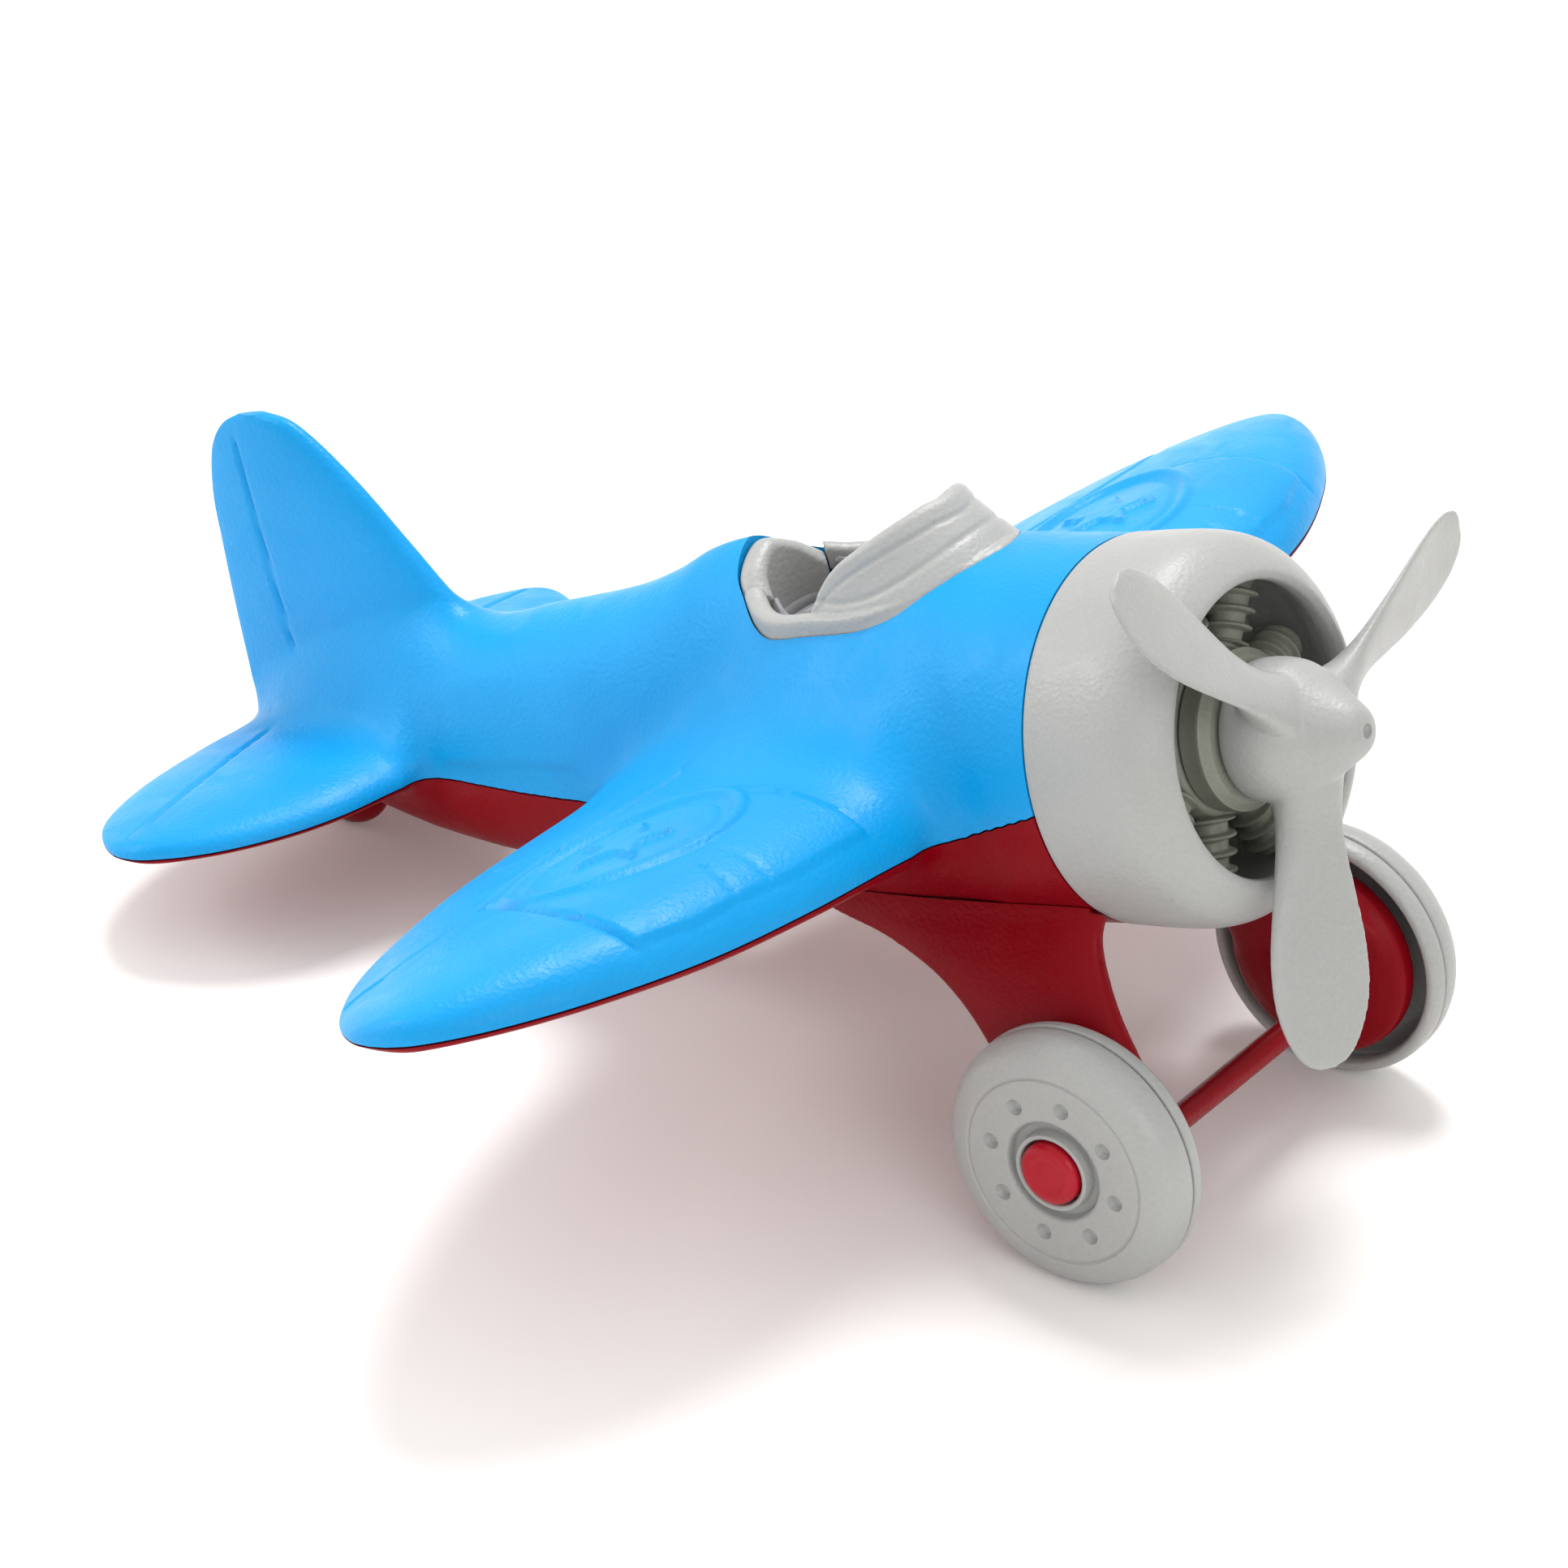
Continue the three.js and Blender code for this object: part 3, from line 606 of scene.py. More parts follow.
def blended(x, y, z, way, radius):
    """How far a wing skin at z moves up or down to run into the fuselage through a soft fillet."""
    halvings = 22
    low, high = np.zeros_like(z), np.full_like(z, radius)
    for _ in range(halvings):
        lift = (low + high) / 2
        wall = outside_fuselage(x, y, z + way * lift)
        overlap = np.maximum(radius - np.abs(lift - wall), 0) / radius
        inside = np.minimum(lift, wall) - overlap**2 * radius / 4 < 0
        low, high = np.where(inside, lift, low), np.where(inside, high, lift)
    return (low + high) / 2


def fillet(distance, radius):
    """Rise of a concave round at this distance from a wall."""
    d = np.clip(distance, 0, radius)
    return radius - np.sqrt(radius**2 - (radius - d) ** 2)


def parting_level(x, y):
    """Height of the edge where the two mouldings meet."""
    rows = np.array(PARTING, float)[::-1]
    level = np.interp(x, rows[:, 0], rows[:, 1])
    climb = np.interp(x, rows[:, 0], rows[:, 2])
    return level + climb * np.abs(y)


def lifting_surface(name, table, steps, above, below, radius, detail):
    """A wing from tip to tip, with root fillets of this radius, and the seam where it meets the fuselage.

    Each section has so many points above and below; detail(x, y) raises or sinks its upper skin.
    """
    edge_above, edge_below, tip_round = 1.3, 0.45, 2.5
    half_rows = np.array(table, float)
    rows = np.vstack([half_rows[::-1], half_rows[1:] * (-1, 1, 1, 1, 1)])
    y, front, back, rise, drop = (c[:, None] for c in catmull(rows, np.linspace(0, 1, steps + 1)).T)
    over = np.linspace(-np.pi / 2, np.pi / 2, above, endpoint=False)
    under = np.linspace(np.pi / 2, 1.5 * np.pi, below, endpoint=False)
    angle = np.concatenate([over, under])[None]
    upper = np.concatenate([np.ones(above), np.zeros(below)])[None] > 0
    half = (front - back) / 2
    x = (front + back) / 2 + half * np.sin(angle)
    swell = camber((1 - np.sin(angle)) / 2)
    rim = np.where(upper, edge_above, edge_below) * np.abs(np.cos(angle)) ** 0.5
    tip = np.clip((np.abs(y) - half_rows[-1, 0] + tip_round) / (tip_round + 0.01), 0, 1)
    skin = (rim + np.where(upper, rise, drop) * swell) * np.sqrt(1 - tip**2)
    edge = parting_level(x, y)
    y = y + 0 * x
    z = edge + np.where(upper, skin, -skin)
    reach = np.clip(swell * 1.25, 0, 1)
    lift = np.where(upper, blended(x, y, z, 1, radius), -blended(x, y, z, -1, radius * 0.6)) * reach
    z = z + lift + np.where(upper & (np.cos(angle) > 0.02), detail(x, np.abs(y)), 0)
    wall = outside_fuselage(x, y, z)
    ring, place = np.nonzero((wall[:-1] < 0) != (wall[1:] < 0))
    seam = np.stack([x[ring, place], y[ring, place], z[ring, place]], 1)
    return rings(name, np.stack([x, y, z], 2)), seam


# Lines on the wings and the tailplane are places (x, distance out).
AILERON = [
    (-95, 30),
    (-96.4, 40),
    (-98, 54),
    (-98.3, 66),
    (-95.8, 80),
    (-94.5, 93),
    (-96, 103),
    (-99.5, 108.5),
]
OUTER_PANEL = [(-95.8, 80), (-89, 83), (-82, 85.6), (-74, 88.2), (-66, 89.3), (-56.4, 89.5)]
INNER_PANEL = [(-49.4, 42.7), (-54.3, 43), (-61.5, 43.6), (-68, 44.8)]
RIB_LINES = [
    [(-60.6, 63.4), (-56, 63.3), (-52.3, 64)],
    [(-62.5, 68.4), (-57, 69.5), (-53.2, 70.9)],
    [(-98, 58), (-104, 58.6), (-113, 59)],
]
BADGE_AT = (-79.0, 64.5)
BADGE_ALONG = math.radians(112)
BADGE_HALF_LENGTH, BADGE_HALF_WIDTH = 19.5, 13.5


def badge(x, y):
    """A plain raised oval with a plain five-pointed star in it."""
    dx, dy = x - BADGE_AT[0], y - BADGE_AT[1]
    along = dx * math.cos(BADGE_ALONG) + dy * math.sin(BADGE_ALONG)
    across = -dx * math.sin(BADGE_ALONG) + dy * math.cos(BADGE_ALONG)
    oval = np.hypot(along / BADGE_HALF_LENGTH, across / BADGE_HALF_WIDTH)
    mean_radius, rise = 16, 0.8
    ring = rise * np.exp(-(((oval - 1) * mean_radius) ** 4))
    inner = groove((oval - 0.85) * mean_radius, 0.45, 0.6)
    turn = np.arctan2(across, along)
    spoke = (turn + np.pi / 5) % (2 * np.pi / 5) - np.pi / 5
    tip, dent, half = 8.6, 3.6, math.pi / 5
    out, run = dent * math.sin(half), tip - dent * math.cos(half)
    edge = out * tip / (out * np.cos(spoke) + run * np.abs(np.sin(spoke)))
    star = rise * smooth(0.4, -0.4, np.hypot(along, across) - edge)
    return ring + inner + star


def wing_detail(x, y):
    leading = np.interp(y, [r[0] for r in WING], [r[1] for r in WING])
    strip = smooth(1.5, 2.4, leading - x) * smooth(42.6, 43.3, y)
    outer = np.interp(x, [p[0] for p in OUTER_PANEL], [p[1] for p in OUTER_PANEL])
    strip = strip * smooth(0.35, -0.35, y - outer) * smooth(-97, -60, x)
    out = 0.8 * strip
    out = out + groove(near(AILERON, x, y), 0.8, 0.6)
    out = out + groove(near(OUTER_PANEL, x, y), 0.5, 0.5)
    out = out + groove(near(INNER_PANEL, x, y), 0.4, 0.45)
    for line in RIB_LINES:
        out = out + groove(near(line, x, y), 0.45, 0.45)
    inside = np.hypot(x - BADGE_AT[0], y - BADGE_AT[1]) < BADGE_HALF_LENGTH + 4.5
    return out + np.where(inside, badge(x, y), 0)


ELEVATOR = [(-202, 9), (-201, 20), (-199.5, 32), (-197.8, 47), (-198, 52)]


def tail_detail(x, y):
    return groove(near(ELEVATOR, x, y), 0.7, 0.55)


def fin():
    t = np.linspace(0, 1, 141)
    z, front, back, half = (c[:, None] for c in catmull(FIN, t).T)
    angle = np.linspace(0, 2 * np.pi, 160, endpoint=False)[None]
    chord = (front - back) / 2
    x = (front + back) / 2 + chord * np.cos(angle)
    swell = 0.25 * np.abs(np.sin(angle)) ** 0.5 + 0.75 * camber((1 - np.cos(angle)) / 2)
    z = z + 0 * x
    root = fillet(z - top_of_fuselage(x, 0 * x), 6) * np.clip(swell * 1.5, 0, 1) * 0.8
    line = groove(np.abs(x - RUDDER_X + 0.02 * z), 0.55, 0.5) * smooth(52, 49, z)
    y = (half * swell + root + line * (swell > 0.2)) * np.sign(np.sin(angle))
    return rings("fin", np.stack([x, y, z], 2))


def slab(lift):
    """Everything above the parting edge, raised by lift."""
    xs = np.linspace(-230, -20, 85)
    ys = np.linspace(-140, 140, 5)
    grid = []
    for x in xs:
        low = [(x, y, parting_level(x, y) + lift) for y in ys]
        high = [(x, y, 100.0) for y in ys[::-1]]
        grid.append(low + high)
    return rings("slab", np.array(grid))


def cockpit_loop(inset, count=240):
    """The cockpit's outline, front first, shrunk by this much at its ends and sides."""
    right = [(x, -y) for x, y in COCKPIT[-2:0:-1]]
    loop = catmull(COCKPIT + right, np.linspace(0, 1, count, endpoint=False), closed=True)
    return COCKPIT_MIDDLE + (loop - COCKPIT_MIDDLE) * (1 - inset / COCKPIT_HALF)


def cockpit_prism(inset, low, high):
    loop = cockpit_loop(inset)
    grid = [np.column_stack([loop, np.full(len(loop), z)]) for z in (low, high)]
    return rings("prism", np.array(grid))


def make_shells():
    skin = fuselage()
    wing, wing_seam = lifting_surface("wing", WING, 440, above=210, below=44, radius=15, detail=wing_detail)
    tail, tail_seam = lifting_surface(
        "tail", TAILPLANE, 200, above=100, below=32, radius=7, detail=tail_detail
    )
    join(skin, wing, tail, fin())
    base = np.linspace(-151, -211, 120)
    beside_fin = []
    for side in (-7, -3, 3, 7):
        y = 0 * base + side
        beside_fin.append(np.column_stack([base, y, top_of_fuselage(base, y)]))
    wing_x, tail_x = wing_seam[:, 0], tail_seam[:, 0]
    relaxed(skin, np.vstack(beside_fin), radius=6, times=110)
    relaxed(skin, wing_seam[wing_x > -60], radius=9, times=160)
    relaxed(skin, wing_seam[wing_x < -60], radius=7, times=60)
    relaxed(skin, tail_seam[tail_x > -200], radius=6, times=60)
    lower = copy_of(skin, "lower")
    combine(skin, slab(GAP), "INTERSECT")
    cut(skin, cockpit_prism(0, 3.6, 60))
    cut(lower, slab(-GAP))
    for shell in (skin, lower):
        cut(shell, lathe("pocket", rod(-36, -28, 27.2), 96))
    piece(skin, "upper_moulding", "airframe", BLUE, ["upper_shell"], sharp=40)
    piece(lower, "lower_moulding", "airframe", RED, ["lower_shell"], sharp=40)


make_shells()

# ---------------------------------------------------------------- nose


def smooth_outline(points, count):
    return catmull(points, np.linspace(0, 1, count)).tolist()


def make_cowling():
    nose = [
        (COWL_REAR + 0.6, 29.75),
        (-26, 29.85),
        (-22, 30),
        (-15.5, 29.9),
        (-12, 29.1),
        (-9.4, 27.4),
        (-7.4, 25.2),
        (-6.6, 23.6),
        (-6.9, 22.6),
        (-8.6, 22.4),
        (-11.5, 23.6),
        (-15.5, 25.6),
        (-20, 26.6),
        (-23.5, 26.8),
    ]
    outline = smooth_outline(nose, 90)
    outline += [(-24.3, 26.8), (-26.9, 26.8), (-27.2, 26.8), (COWL_REAR, 26.8), (COWL_REAR, 29.5)]
    obj = lathe("cowling", outline, 192)
    piece(obj, "cowl_ring", "airframe", GREY, ["cowling"])


def threaded_cylinder(turn):
    """One engine cylinder with a helical cooling fin, standing out from the drum."""
    axis_x, foot, tall, pitch = -17.5, 12, 12.3, 2.7
    height = np.linspace(0, tall, 110)[:, None]
    angle = np.linspace(0, 2 * np.pi, 48, endpoint=False)[None]
    phase = (height / pitch - angle / (2 * np.pi)) % 1.0
    ridge = np.exp(-(((phase - 0.5) / 0.17) ** 4))
    ends = smooth(0.4, 1.4, height) * smooth(11.6, 10.8, height)
    radius = 2.75 + 1.3 * ridge * ends
    radius = np.where(height > 11.4, 3.1 - 0.6 * smooth(11.7, tall, height), radius)
    x, side, out = radius * np.cos(angle), radius * np.sin(angle), foot + height + 0 * angle
    y = side * math.cos(turn) - out * math.sin(turn)
    z = side * math.sin(turn) + out * math.cos(turn)
    return rings("cylinder", np.stack([x + axis_x, y, z], 2))


def make_engine():
    back = [(-26.6, 0), (-26.6, 26.4), (-26, 26.4), (-24.6, 26.0), (-24.6, 0)]
    middle = [
        (-25.2, 0),
        (-25.2, 14.4),
        (-20, 13.8),
        (-15, 13.2),
        (-14.4, 12.9),
        (-14.2, 12.2),
        (-14.2, 0),
    ]
    plate = lathe("engine", back, 128)
    join(plate, lathe("drum", middle, 128))
    for k in range(CYLINDERS):
        join(plate, threaded_cylinder(k * 2 * math.pi / CYLINDERS))
    cut(plate, lathe("bore", rod(-40, 0, 2.7), 48))
    piece(plate, "radial_engine", "airframe", ENGINE_TINT_AND_PAINTED_SHADE, ["engine_block"], sharp=50)


def make_crankcase():
    outline = [
        (-13.9, 2.7),
        (-13.9, 12.0),
        (-13.6, 12.4),
        (-11.2, 12.2),
        (-10.8, 12.35),
        (-10.3, 12.3),
        (-10.0, 11.9),
        (-9.4, 11.5),
        (-8.9, 11.0),
        (-8.8, 10.4),
        (-8.8, 2.7),
    ]
    cap = lathe("case", outline, 128)
    piece(cap, "crankcase_cap", "airframe", ENGINE_TINT_AND_PAINTED_SHADE, ["crankcase"])


def blade(turn):
    t = np.linspace(0, 1, 90)
    radius, chord, thick, pitch = (c[:, None] for c in catmull(BLADE, t).T)
    lean = np.radians(pitch)
    angle = np.linspace(0, 2 * np.pi, 72, endpoint=False)[None]
    along = chord / 2 * np.cos(angle)
    curl = 0.5 * np.cos(angle) ** 2 * smooth(14, 34, radius)
    through = thick / 2 * np.sin(angle) * (1 - 0.25 * np.cos(angle)) + curl
    x = along * np.sin(lean) + through * np.cos(lean)
    side = -along * np.cos(lean) + through * np.sin(lean)
    radius = radius + 0 * x
    spin = turn - math.pi / 2
    y = side * math.cos(spin) - radius * math.sin(spin)
    z = side * math.sin(spin) + radius * math.cos(spin)
    return rings("blade", np.stack([x, y, z], 2))


def make_propeller():
    profile = [
        (-8.2, 9.9),
        (-7.6, 10.5),
        (-4, 11.0),
        (0, 10.5),
        (3, 8.9),
        (5.5, 7.1),
        (8, 5.5),
        (10, 4.2),
        (11.1, 3.2),
        (11.6, 1.9),
    ]
    outline = [(-8.5, 0), (-8.5, 9.4)] + smooth_outline(profile, 50) + [(11.75, 1.0), (11.75, 0)]
    hub = lathe("hub", outline, 96)
    join(hub, *(blade(PROPELLER_REST + k * 2 * math.pi / BLADES) for k in range(BLADES)))
    melted(hub, 0.27, 14)
    cut(hub, lathe("socket", rod(-10, 3.3, 2.7), 48))
    cut(hub, lathe("dimple", [(10.9, 0), (10.9, 0.7), (11.4, 1.1), (12.4, 1.25), (12.4, 0)], 32))
    piece(hub, "airscrew", "propeller", GREY, ["propeller"], sharp=60)


make_cowling()
make_engine()
make_crankcase()
make_propeller()

# ---------------------------------------------------------------- cockpit


def swept(name, path, normals, profile, closed=False):
    """A bar along a path with level normals; profile(p) is its outline of (outwards, up) at p."""
    grid = []
    for p, n in zip(path, normals):
        grid.append([(p[0] + n[0] * a, p[1] + n[1] * a, p[2] + h) for a, h in profile(p)])
    return rings(name, grid, closed)


def outward_normals(loop):
    ahead = np.roll(loop, -1, 0) - np.roll(loop, 1, 0)
    ahead /= np.linalg.norm(ahead, axis=1)[:, None]
    normal = np.column_stack([ahead[:, 1], -ahead[:, 0]])
    outward = ((loop - loop.mean(0)) * normal).sum(1)
    return normal * np.sign(outward)[:, None]


def bead_profile(half, low, high, count):
    """A bar's outline with straight sides and a rounded top."""
    arc = np.linspace(0, np.pi, count)
    top = [(half * math.cos(a), high - half * 0.75 + half * 0.75 * math.sin(a)) for a in arc]
    return [(half, low)] + top + [(-half, low)]


def rim_path(inset, low_x, high_x):
    """The part of the cockpit's edge between two x, on the fuselage's skin, and its normals."""
    loop = cockpit_loop(inset, 900)
    normal = outward_normals(loop)
    z = top_of_fuselage(loop[:, 0], loop[:, 1])
    path = np.column_stack([loop, z])
    chosen = np.nonzero((path[:, 0] > low_x) & (path[:, 0] < high_x))[0]
    breaks = np.nonzero(np.diff(chosen) > 1)[0]
    if len(breaks):
        chosen = np.concatenate([chosen[breaks[0] + 1 :], chosen[: breaks[0] + 1]])
    chosen = np.concatenate([chosen[:-1:3], chosen[-1:]])
    return path[chosen], normal[chosen]


# z, x of the middle, half length, half width of the bubble that the windscreen is a part of
BUBBLE = [
    [45, -72.2, 12, 8.5],
    [33.5, -69.6, 17.5, 13.2],
    [22, -68.6, 22.3, 16.6],
    [16, -68.6, 22.3, 16.8],
]
BUBBLE_TABLE = catmull(BUBBLE, np.linspace(0, 1, 200))[::-1]
SCREEN_TOP = 38.4


def bubble(turn, z):
    """x and y on the bubble at this turn from straight ahead, and its half length and half width."""
    middle, along, wide = (np.interp(z, BUBBLE_TABLE[:, 0], BUBBLE_TABLE[:, k]) for k in (1, 2, 3))
    return middle + along * np.cos(turn), wide * np.sin(turn), along, wide


def windscreen_ceiling(x):
    """The height of the windscreen's slanted rear edge at x."""
    s = np.linspace(0, 1, 40)

    def bend(a, b, c):
        return (1 - s) ** 2 * a + 2 * s * (1 - s) * b + s**2 * c

    xs = np.concatenate([bend(-75, -74.5, -67), bend(-67, -61, -56.5)])
    zs = np.concatenate([bend(22, 30, 33.6), bend(33.6, 36.8, SCREEN_TOP)])
    return np.interp(x, xs, zs, left=0.0, right=SCREEN_TOP)


def windscreen():
    """The screen, with a bead along its top edge and a flared skirt, each set off by a fine groove."""
    half = 0.9
    levels = np.linspace(18, SCREEN_TOP, 400)
    grid = []
    for turn in np.linspace(-1.0, 1.0, 241) * math.radians(105):
        x, y = bubble(turn, levels)[:2]
        open_air = levels >= top_of_fuselage(x, y) - 2.6
        under = levels <= windscreen_ceiling(x)
        good = np.nonzero(open_air & under)[0]
        if len(good) < 6:
            continue
        low, high = levels[good[0]], levels[good[-1]]
        z = np.linspace(low, high, 96)
        x, y, along, wide = bubble(turn, z)
        normal = np.array([math.cos(turn) / along.mean(), math.sin(turn) / wide.mean()])
        normal /= np.linalg.norm(normal)
        down, up = z - low, high - z
        bead = 0.1 * smooth(3.0, 2.2, up) + groove(up - 2.8, 0.32, 0.35)
        flare = (0.9 + 1.1 * max(0, math.cos(turn)) ** 2) * np.clip((9 - down) / 6.4, 0, 1) ** 1.4
        skirt = flare + groove(down - 5.4, 0.35, 0.4)
        round_top = np.sqrt(np.clip(1 - (1 - np.clip(up / half, 0, 1)) ** 2, 0, 1))
        outer = -half + (half + bead + skirt * smooth(0, 5, high - low)) * round_top
        inner = -half - half * round_top
        front = np.column_stack([x + normal[0] * outer, y + normal[1] * outer, z])
        rear = np.column_stack([x + normal[0] * inner, y + normal[1] * inner, z])
        grid.append(np.vstack([front, rear[-2::-1]]))
    return rings("windscreen", grid)


def make_windscreen_rim():
    def bar(p):
        high = 0.75 - 0.5 * smooth(-66, -54, p[0]) - 0.9 * smooth(-82, -89.5, p[0])
        return bead_profile(1.65, -4.6, high, 14)

    path, normals = rim_path(1.9, REAR_ARCH - 0.2, 0)
    rim = swept("rim", path, normals, bar)
    join(rim, windscreen())
    melted(rim, 0.26, 3)
    piece(rim, "windscreen_rim", "airframe", GREY, ["cockpit_frame"], sharp=60)


def make_rear_arch():
    foot_z = 19.9

    def bar(p):
        high = -0.7 - 2.6 * smooth(5.5, 10.5, abs(p[1]))
        return bead_profile(2.2, foot_z - p[2], high, 16)

    path, normals = rim_path(2.5, -200, REAR_ARCH + 0.1)
    arch = swept("arch", path, normals, bar)
    melted(arch, 0.28, 3)
    piece(arch, "rear_arch", "airframe", GREY, ["headrest"], sharp=60)


# inset, level above the thrust line or, where it hangs, depth under the lip, hangs, ribbed
TUB = [
    (3.9, 4.0, False, False),
    (3.8, 4.6, False, False),
    (3.8, 1.0, True, False),
    (4.1, 0.3, True, False),
    (4.6, 0.0, True, False),
    (5.1, 0.3, True, False),
    (5.4, 1.0, True, False),
    (5.4, 3.0, True, False),
    (5.4, 4.4, True, True),
    (5.4, 6.6, False, True),
    (5.9, 5.8, False, False),
    (9, 5.6, False, False),
]


def cockpit_tub():
    """The lining: a thin wall with a rounded lip, upright ribs and a floor."""
    count = 288
    around = np.arange(count) / count * 2 * np.pi
    ribs = 0.55 * smooth(0.2, 0.8, np.cos(around * COCKPIT_RIBS))
    grid = []
    for inset, level, hangs, ribbed in TUB:
        loop = cockpit_loop(inset, count)
        skin = top_of_fuselage(loop[:, 0], loop[:, 1])
        lip = np.minimum(skin - 4.0, 20.5 + 40 * smooth(-88.6, -84, loop[:, 0]))
        z = lip - level if hangs else np.full(count, level)
        if ribbed:
            loop = loop - outward_normals(loop) * ribs[:, None]
        grid.append(np.column_stack([loop, z]))
    return rings("tub", grid)


def cockpit_hoop():
    """The bar that runs round the inside of the lining."""
    ring = [(1.6 * math.cos(a), 1.4 * math.sin(a)) for a in np.linspace(0, 2 * np.pi, 14, endpoint=False)]
    loop = cockpit_loop(6.4, 220)
    z = 17.2 + 0.11 * (loop[:, 0] + 96) + 1.2 * smooth(-62, -50, loop[:, 0])
    return swept("hoop", np.column_stack([loop, z]), outward_normals(loop), lambda p: ring, closed=True)


def make_cockpit_lining():
    tub = cockpit_tub()
    hoop = cockpit_hoop()
    seat = bevelled(box_between("seat", (-86, -8, 5), (-79, 8, 12.6)), 1.6, 4)
    panel = bevelled(box_between("panel", (-62, -12.6, 5), (-60, 12.6, 16.6)), 0.8, 3)
    join(tub, hoop, seat, panel)
    outline = [(-62.6, 0), (-62.6, 1.6), (-62.1, 2.2), (-61, 2.2), (-61, 0)]
    for y in (-6.2, 0, 6.2):
        join(tub, lathe("dial", outline, 32, at=(0, y, 12.4)))
    piece(tub, "cockpit_lining", "airframe", LINING_PAINTED_SHADE, ["seat_tub"], sharp=45)


make_windscreen_rim()
make_rear_arch()
make_cockpit_lining()

# ---------------------------------------------------------------- undercarriage

# z, leading edge, trailing edge, middle's distance out, half thickness
LEG = [
    [-13, -25.5, -91, 18, 2.4],
    [-20, -27.5, -84, 20.5, 2.8],
    [-25, -29, -70, 22.6, 3],
    [-30, -28, -60, 24.8, 3.1],
    [-36, -25.6, -53, 27.2, 3.1],
    [-43, -21.6, -48.3, 29.6, 3],
    [-50, -17.9, -47.2, 31.2, 2.8],
    [-54, -17.4, -47.6, 31.8, 2.6],
]


def on_axle(name, outline, sides, side, at=AXLE):
    """An outline of (distance out, radius) turned about the axle on one side of the plane."""
    return lathe(name, [(side * y, r) for y, r in outline], sides, "y", at)


def make_leg(word, side):
    z, front, back, out, thick = (c[:, None] for c in catmull(LEG, np.linspace(0, 1, 80)).T)
    angle = np.linspace(0, 2 * np.pi, 64, endpoint=False)[None]
    x = (front + back) / 2 + (front - back) / 2 * signed_power(np.cos(angle), 0.8)
    y = out + thick * signed_power(np.sin(angle), 0.6)
    strut = rings("leg", np.stack([x, side * y, z + 0 * x], 2))
    dish = [
        (28.8, 0),
        (28.8, 8.6),
        (29.6, 12.4),
        (30.7, 15.2),
        (31.6, 16.2),
        (34.2, 16.2),
        (34.9, 15.6),
        (34.9, 0),
    ]
    join(strut, on_axle("dish", dish, 96, side))
    melted(strut, 0.5, 6)
    cut(strut, fuselage(inset=-0.2, sides=96, steps=120, detail=False))
    cut(strut, lathe("nose", rod(-30.1, 0, 30.4), 96))
    cut(strut, on_axle("bore", rod(20, 38, 3.2), 48, side))
    cut(strut, lathe("socket", rod(-27.5, 27.5, 2.5), 48, "y", BAR))
    piece(strut, "strut_" + word, "airframe", RED, ["leg_" + word], sharp=50)


def make_wheel_face(word, side):
    outline = [
        (40.2, 3.2),
        (40.2, 5.5),
        (43.3, 5.5),
        (43.5, 6.3),
        (41, 6.5),
        (41, 7.9),
        (42.9, 8.2),
        (42.9, 15.1),
        (42.5, 15.4),
        (42.9, 15.7),
        (42.5, 17.2),
        (41.7, 19),
        (40.3, 20.2),
        (38.4, 20.9),
        (36.15, 21),
        (36.15, 18.8),
        (39, 18.4),
        (40.2, 17),
        (40.2, 7),
        (36.6, 6.6),
        (36.6, 3.2),
    ]
    face = on_axle("face", rounded(outline, 0.7), 160, side)
    ring_radius = 11.3
    dent = [(41.9, 0), (41.9, 0.75), (42.4, 1.15), (43.2, 1.5), (43.8, 1.5), (43.8, 0)]
    for k in range(DIMPLES):
        turn = (k + 0.46) * math.pi / 4
        x, z = -side * ring_radius * math.cos(turn), ring_radius * math.sin(turn)
        cut(face, on_axle("dimple", dent, 24, side, (AXLE_X + x, 0, AXLE_Z + z)))
    piece(face, "tyre_face_" + word, "wheel_" + word, GREY, ["wheel_face_" + word], sharp=50)


def make_wheel_rim(word, side):
    outline = [
        (35.85, 21),
        (34.6, 20.95),
        (33.6, 20.6),
        (32.9, 20),
        (32.9, 19.1),
        (33.8, 18.6),
        (35.85, 18.6),
    ]
    ring = on_axle("ring", rounded(outline, 0.5), 160, side)
    piece(ring, "tyre_ring_" + word, "wheel_" + word, GREY, ["wheel_rim_" + word], sharp=50)


def make_pin(word, side):
    outline = [
        (29.2, 0),
        (29.2, 2.6),
        (29.6, 2.9),
        (40.6, 2.9),
        (40.6, 4.7),
        (40.9, 5.1),
        (43.3, 5.1),
        (43.9, 4.95),
        (44.3, 4.4),
        (44.5, 3.6),
        (44.45, 2.9),
        (44.35, 2.6),
        (44.4, 2.2),
        (44.6, 0),
    ]
    pin = on_axle("pin", outline, 96, side)
    piece(pin, "axle_head_" + word, "airframe", PIN, ["axle_pin_" + word], sharp=40)


def make_bar():
    half = [(-27.2, 0), (-27.2, 1.9), (-26.9, 2.2), (-24, 2.2), (-23.6, 2.05)]
    outline = half + [(0, 2.12)] + [(-y, r) for y, r in half[::-1]]
    bar = lathe("bar", outline, 64, "y", BAR)
    piece(bar, "cross_bar", "airframe", RED, ["spreader_bar"], sharp=40)


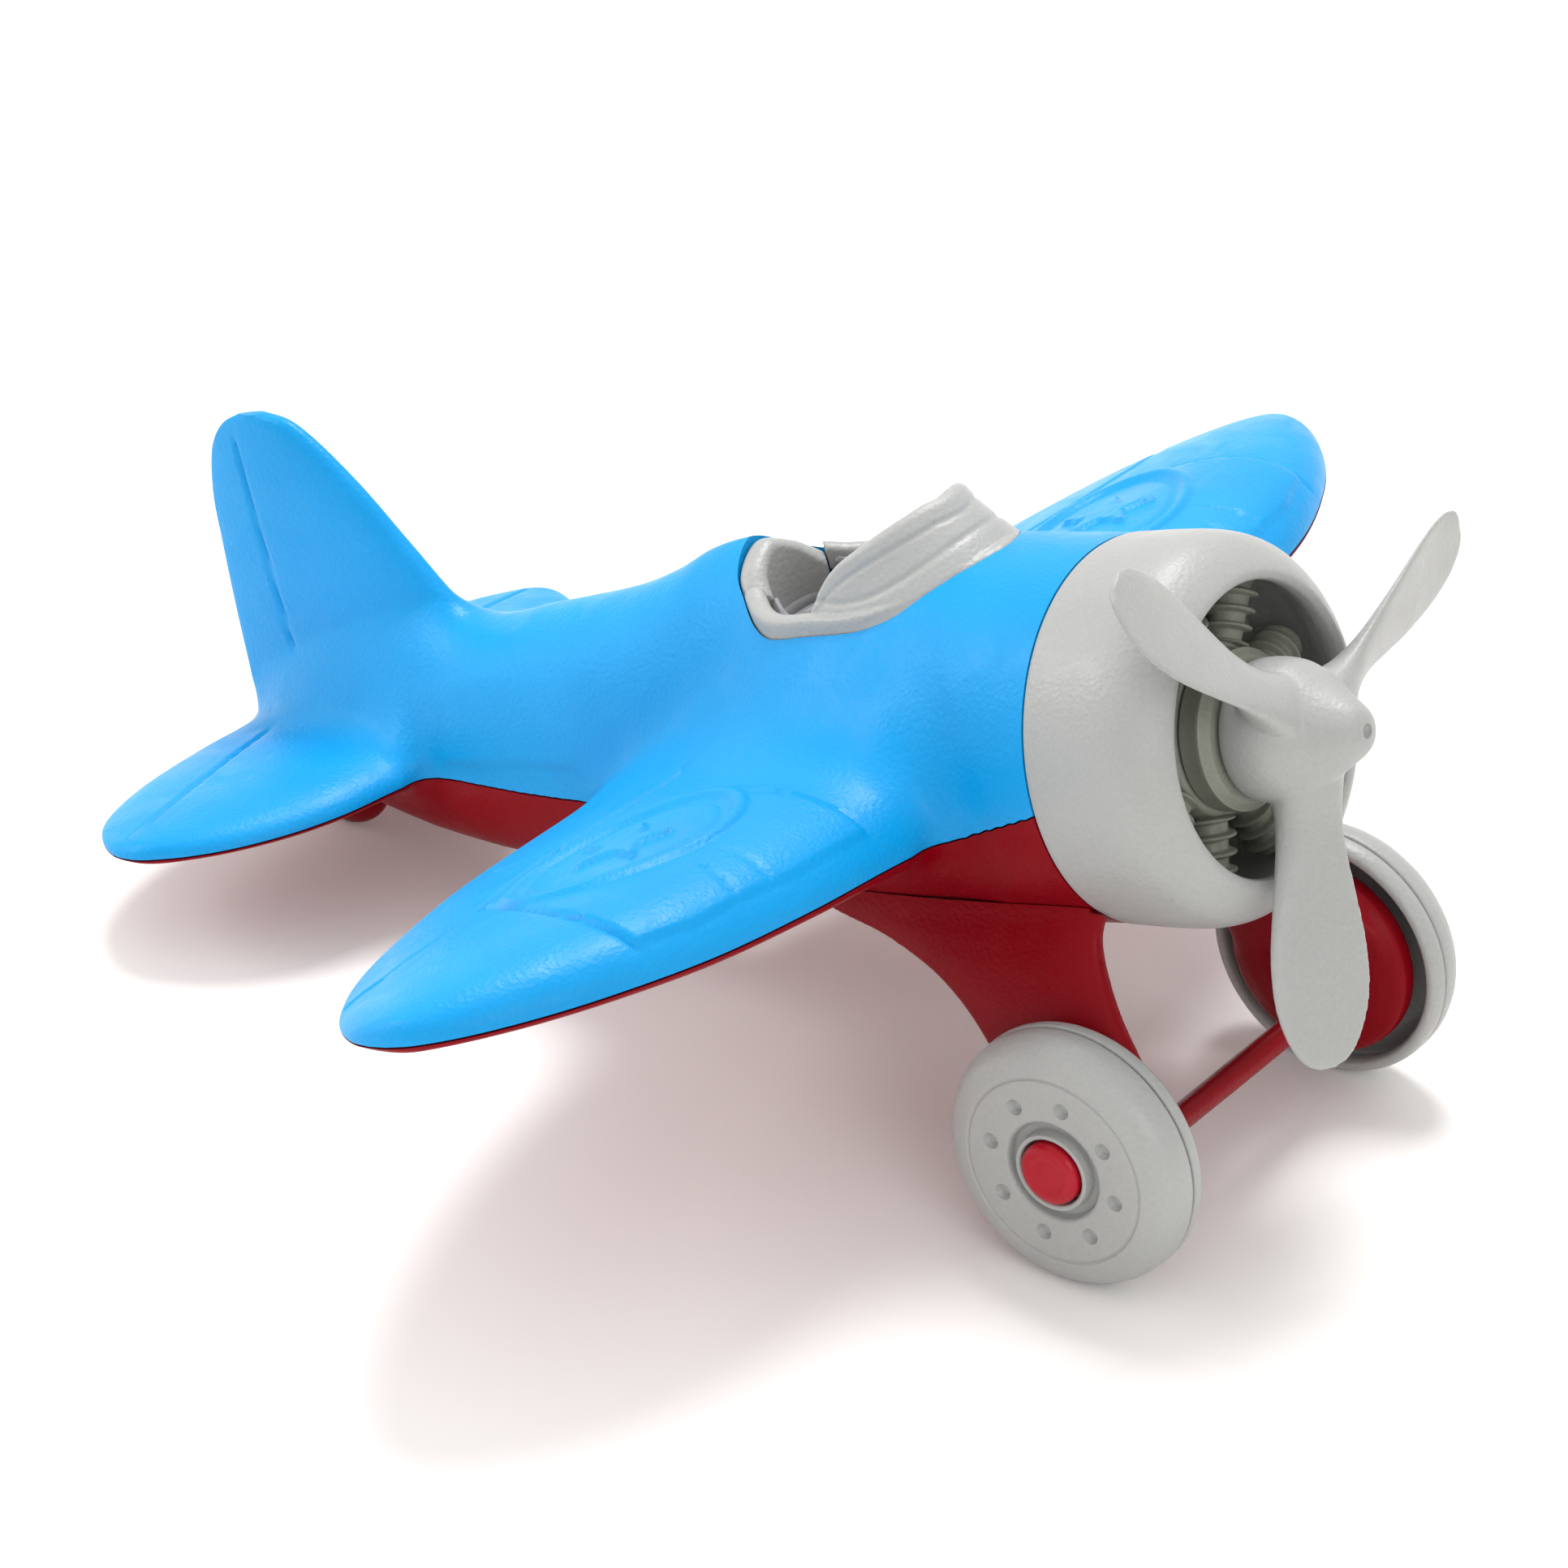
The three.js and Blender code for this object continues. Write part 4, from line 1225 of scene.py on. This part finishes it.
def make_skid():
    """An egg-shaped shoe that stands out under the tail."""
    half_height, half_length, half_width = 9.5, 9, 5
    lean = np.linspace(0.02, 0.98, 40)[:, None] * np.pi
    angle = np.linspace(0, 2 * np.pi, 64, endpoint=False)[None]
    z = SKID_Z + half_height - half_height * np.cos(np.pi - lean)
    swell = np.sin(lean)
    x = SKID_X + 1.5 + half_length * swell * np.cos(angle)
    y = half_width * swell * np.sin(angle)
    foot = rings("skid", np.stack([x, y, z + 0 * x], 2))
    cut(foot, fuselage(inset=-0.25, sides=96, steps=160, detail=False))
    combine(foot, box_between("low", (-230, -10, -40), (-180, 10, SKID_Z + 9)), "INTERSECT")
    piece(foot, "tail_shoe", "airframe", RED, ["tail_skid"], sharp=45)


for word, side in (("left", 1), ("right", -1)):
    make_leg(word, side)
    make_wheel_face(word, side)
    make_wheel_rim(word, side)
    make_pin(word, side)
make_bar()
make_skid()

# The propeller's shaft and its clip keep their plain shapes.
for name in ("propeller_shaft", "shaft_clip"):
    node = frame["nodes"][name]
    node.data.materials.clear()
    node.data.materials.append(GREY)

# ---------------------------------------------------------------- studio


def make_floor():
    material = bpy.data.materials.new("floor")
    material.use_nodes = True
    tree = material.node_tree
    shader = tree.nodes["Principled BSDF"]
    noise = tree.nodes.new("ShaderNodeTexNoise")
    noise.inputs["Scale"].default_value = 3.0
    ramp = tree.nodes.new("ShaderNodeValToRGB")
    ramp.color_ramp.elements[0].color = (0.90, 0.885, 0.87, 1)
    ramp.color_ramp.elements[1].color = (0.93, 0.92, 0.91, 1)
    tree.links.new(noise.outputs["Fac"], ramp.inputs["Fac"])
    tree.links.new(ramp.outputs["Color"], shader.inputs["Base Color"])
    shader.inputs["Roughness"].default_value = 0.8
    half = 6.0
    corners = [(-half, -half, 0), (half, -half, 0), (half, half, 0), (-half, half, 0)]
    floor = new_object("floor", corners, [(0, 1, 2, 3)])
    floor.data.materials.append(material)


def make_light(name, at, size, power):
    """A round white lamp that looks at the plane."""
    data = bpy.data.lights.new(name, "AREA")
    data.shape = "DISK"
    data.size = size
    data.energy = power
    lamp = bpy.data.objects.new(name, data)
    towards = Vector(np.array([0, 0, 0.05]) - at)
    lamp.location = at
    lamp.rotation_euler = towards.to_track_quat("-Z", "Y").to_euler()
    bpy.context.collection.objects.link(lamp)


def make_world():
    world = bpy.data.worlds.new("studio")
    world.use_nodes = True
    background = world.node_tree.nodes["Background"]
    background.inputs["Color"].default_value = (1.0, 0.99, 0.98, 1)
    background.inputs["Strength"].default_value = 0.95
    bpy.context.scene.world = world


bpy.context.scene.view_settings.view_transform = "Standard"
make_floor()
make_world()
make_light("key", (-0.35, 0.55, 1.5), size=0.7, power=22)
make_light("fill", (1.4, -0.9, 0.9), size=1.0, power=7)
make_light("edge", (-1.3, -0.7, 0.9), size=0.8, power=8)
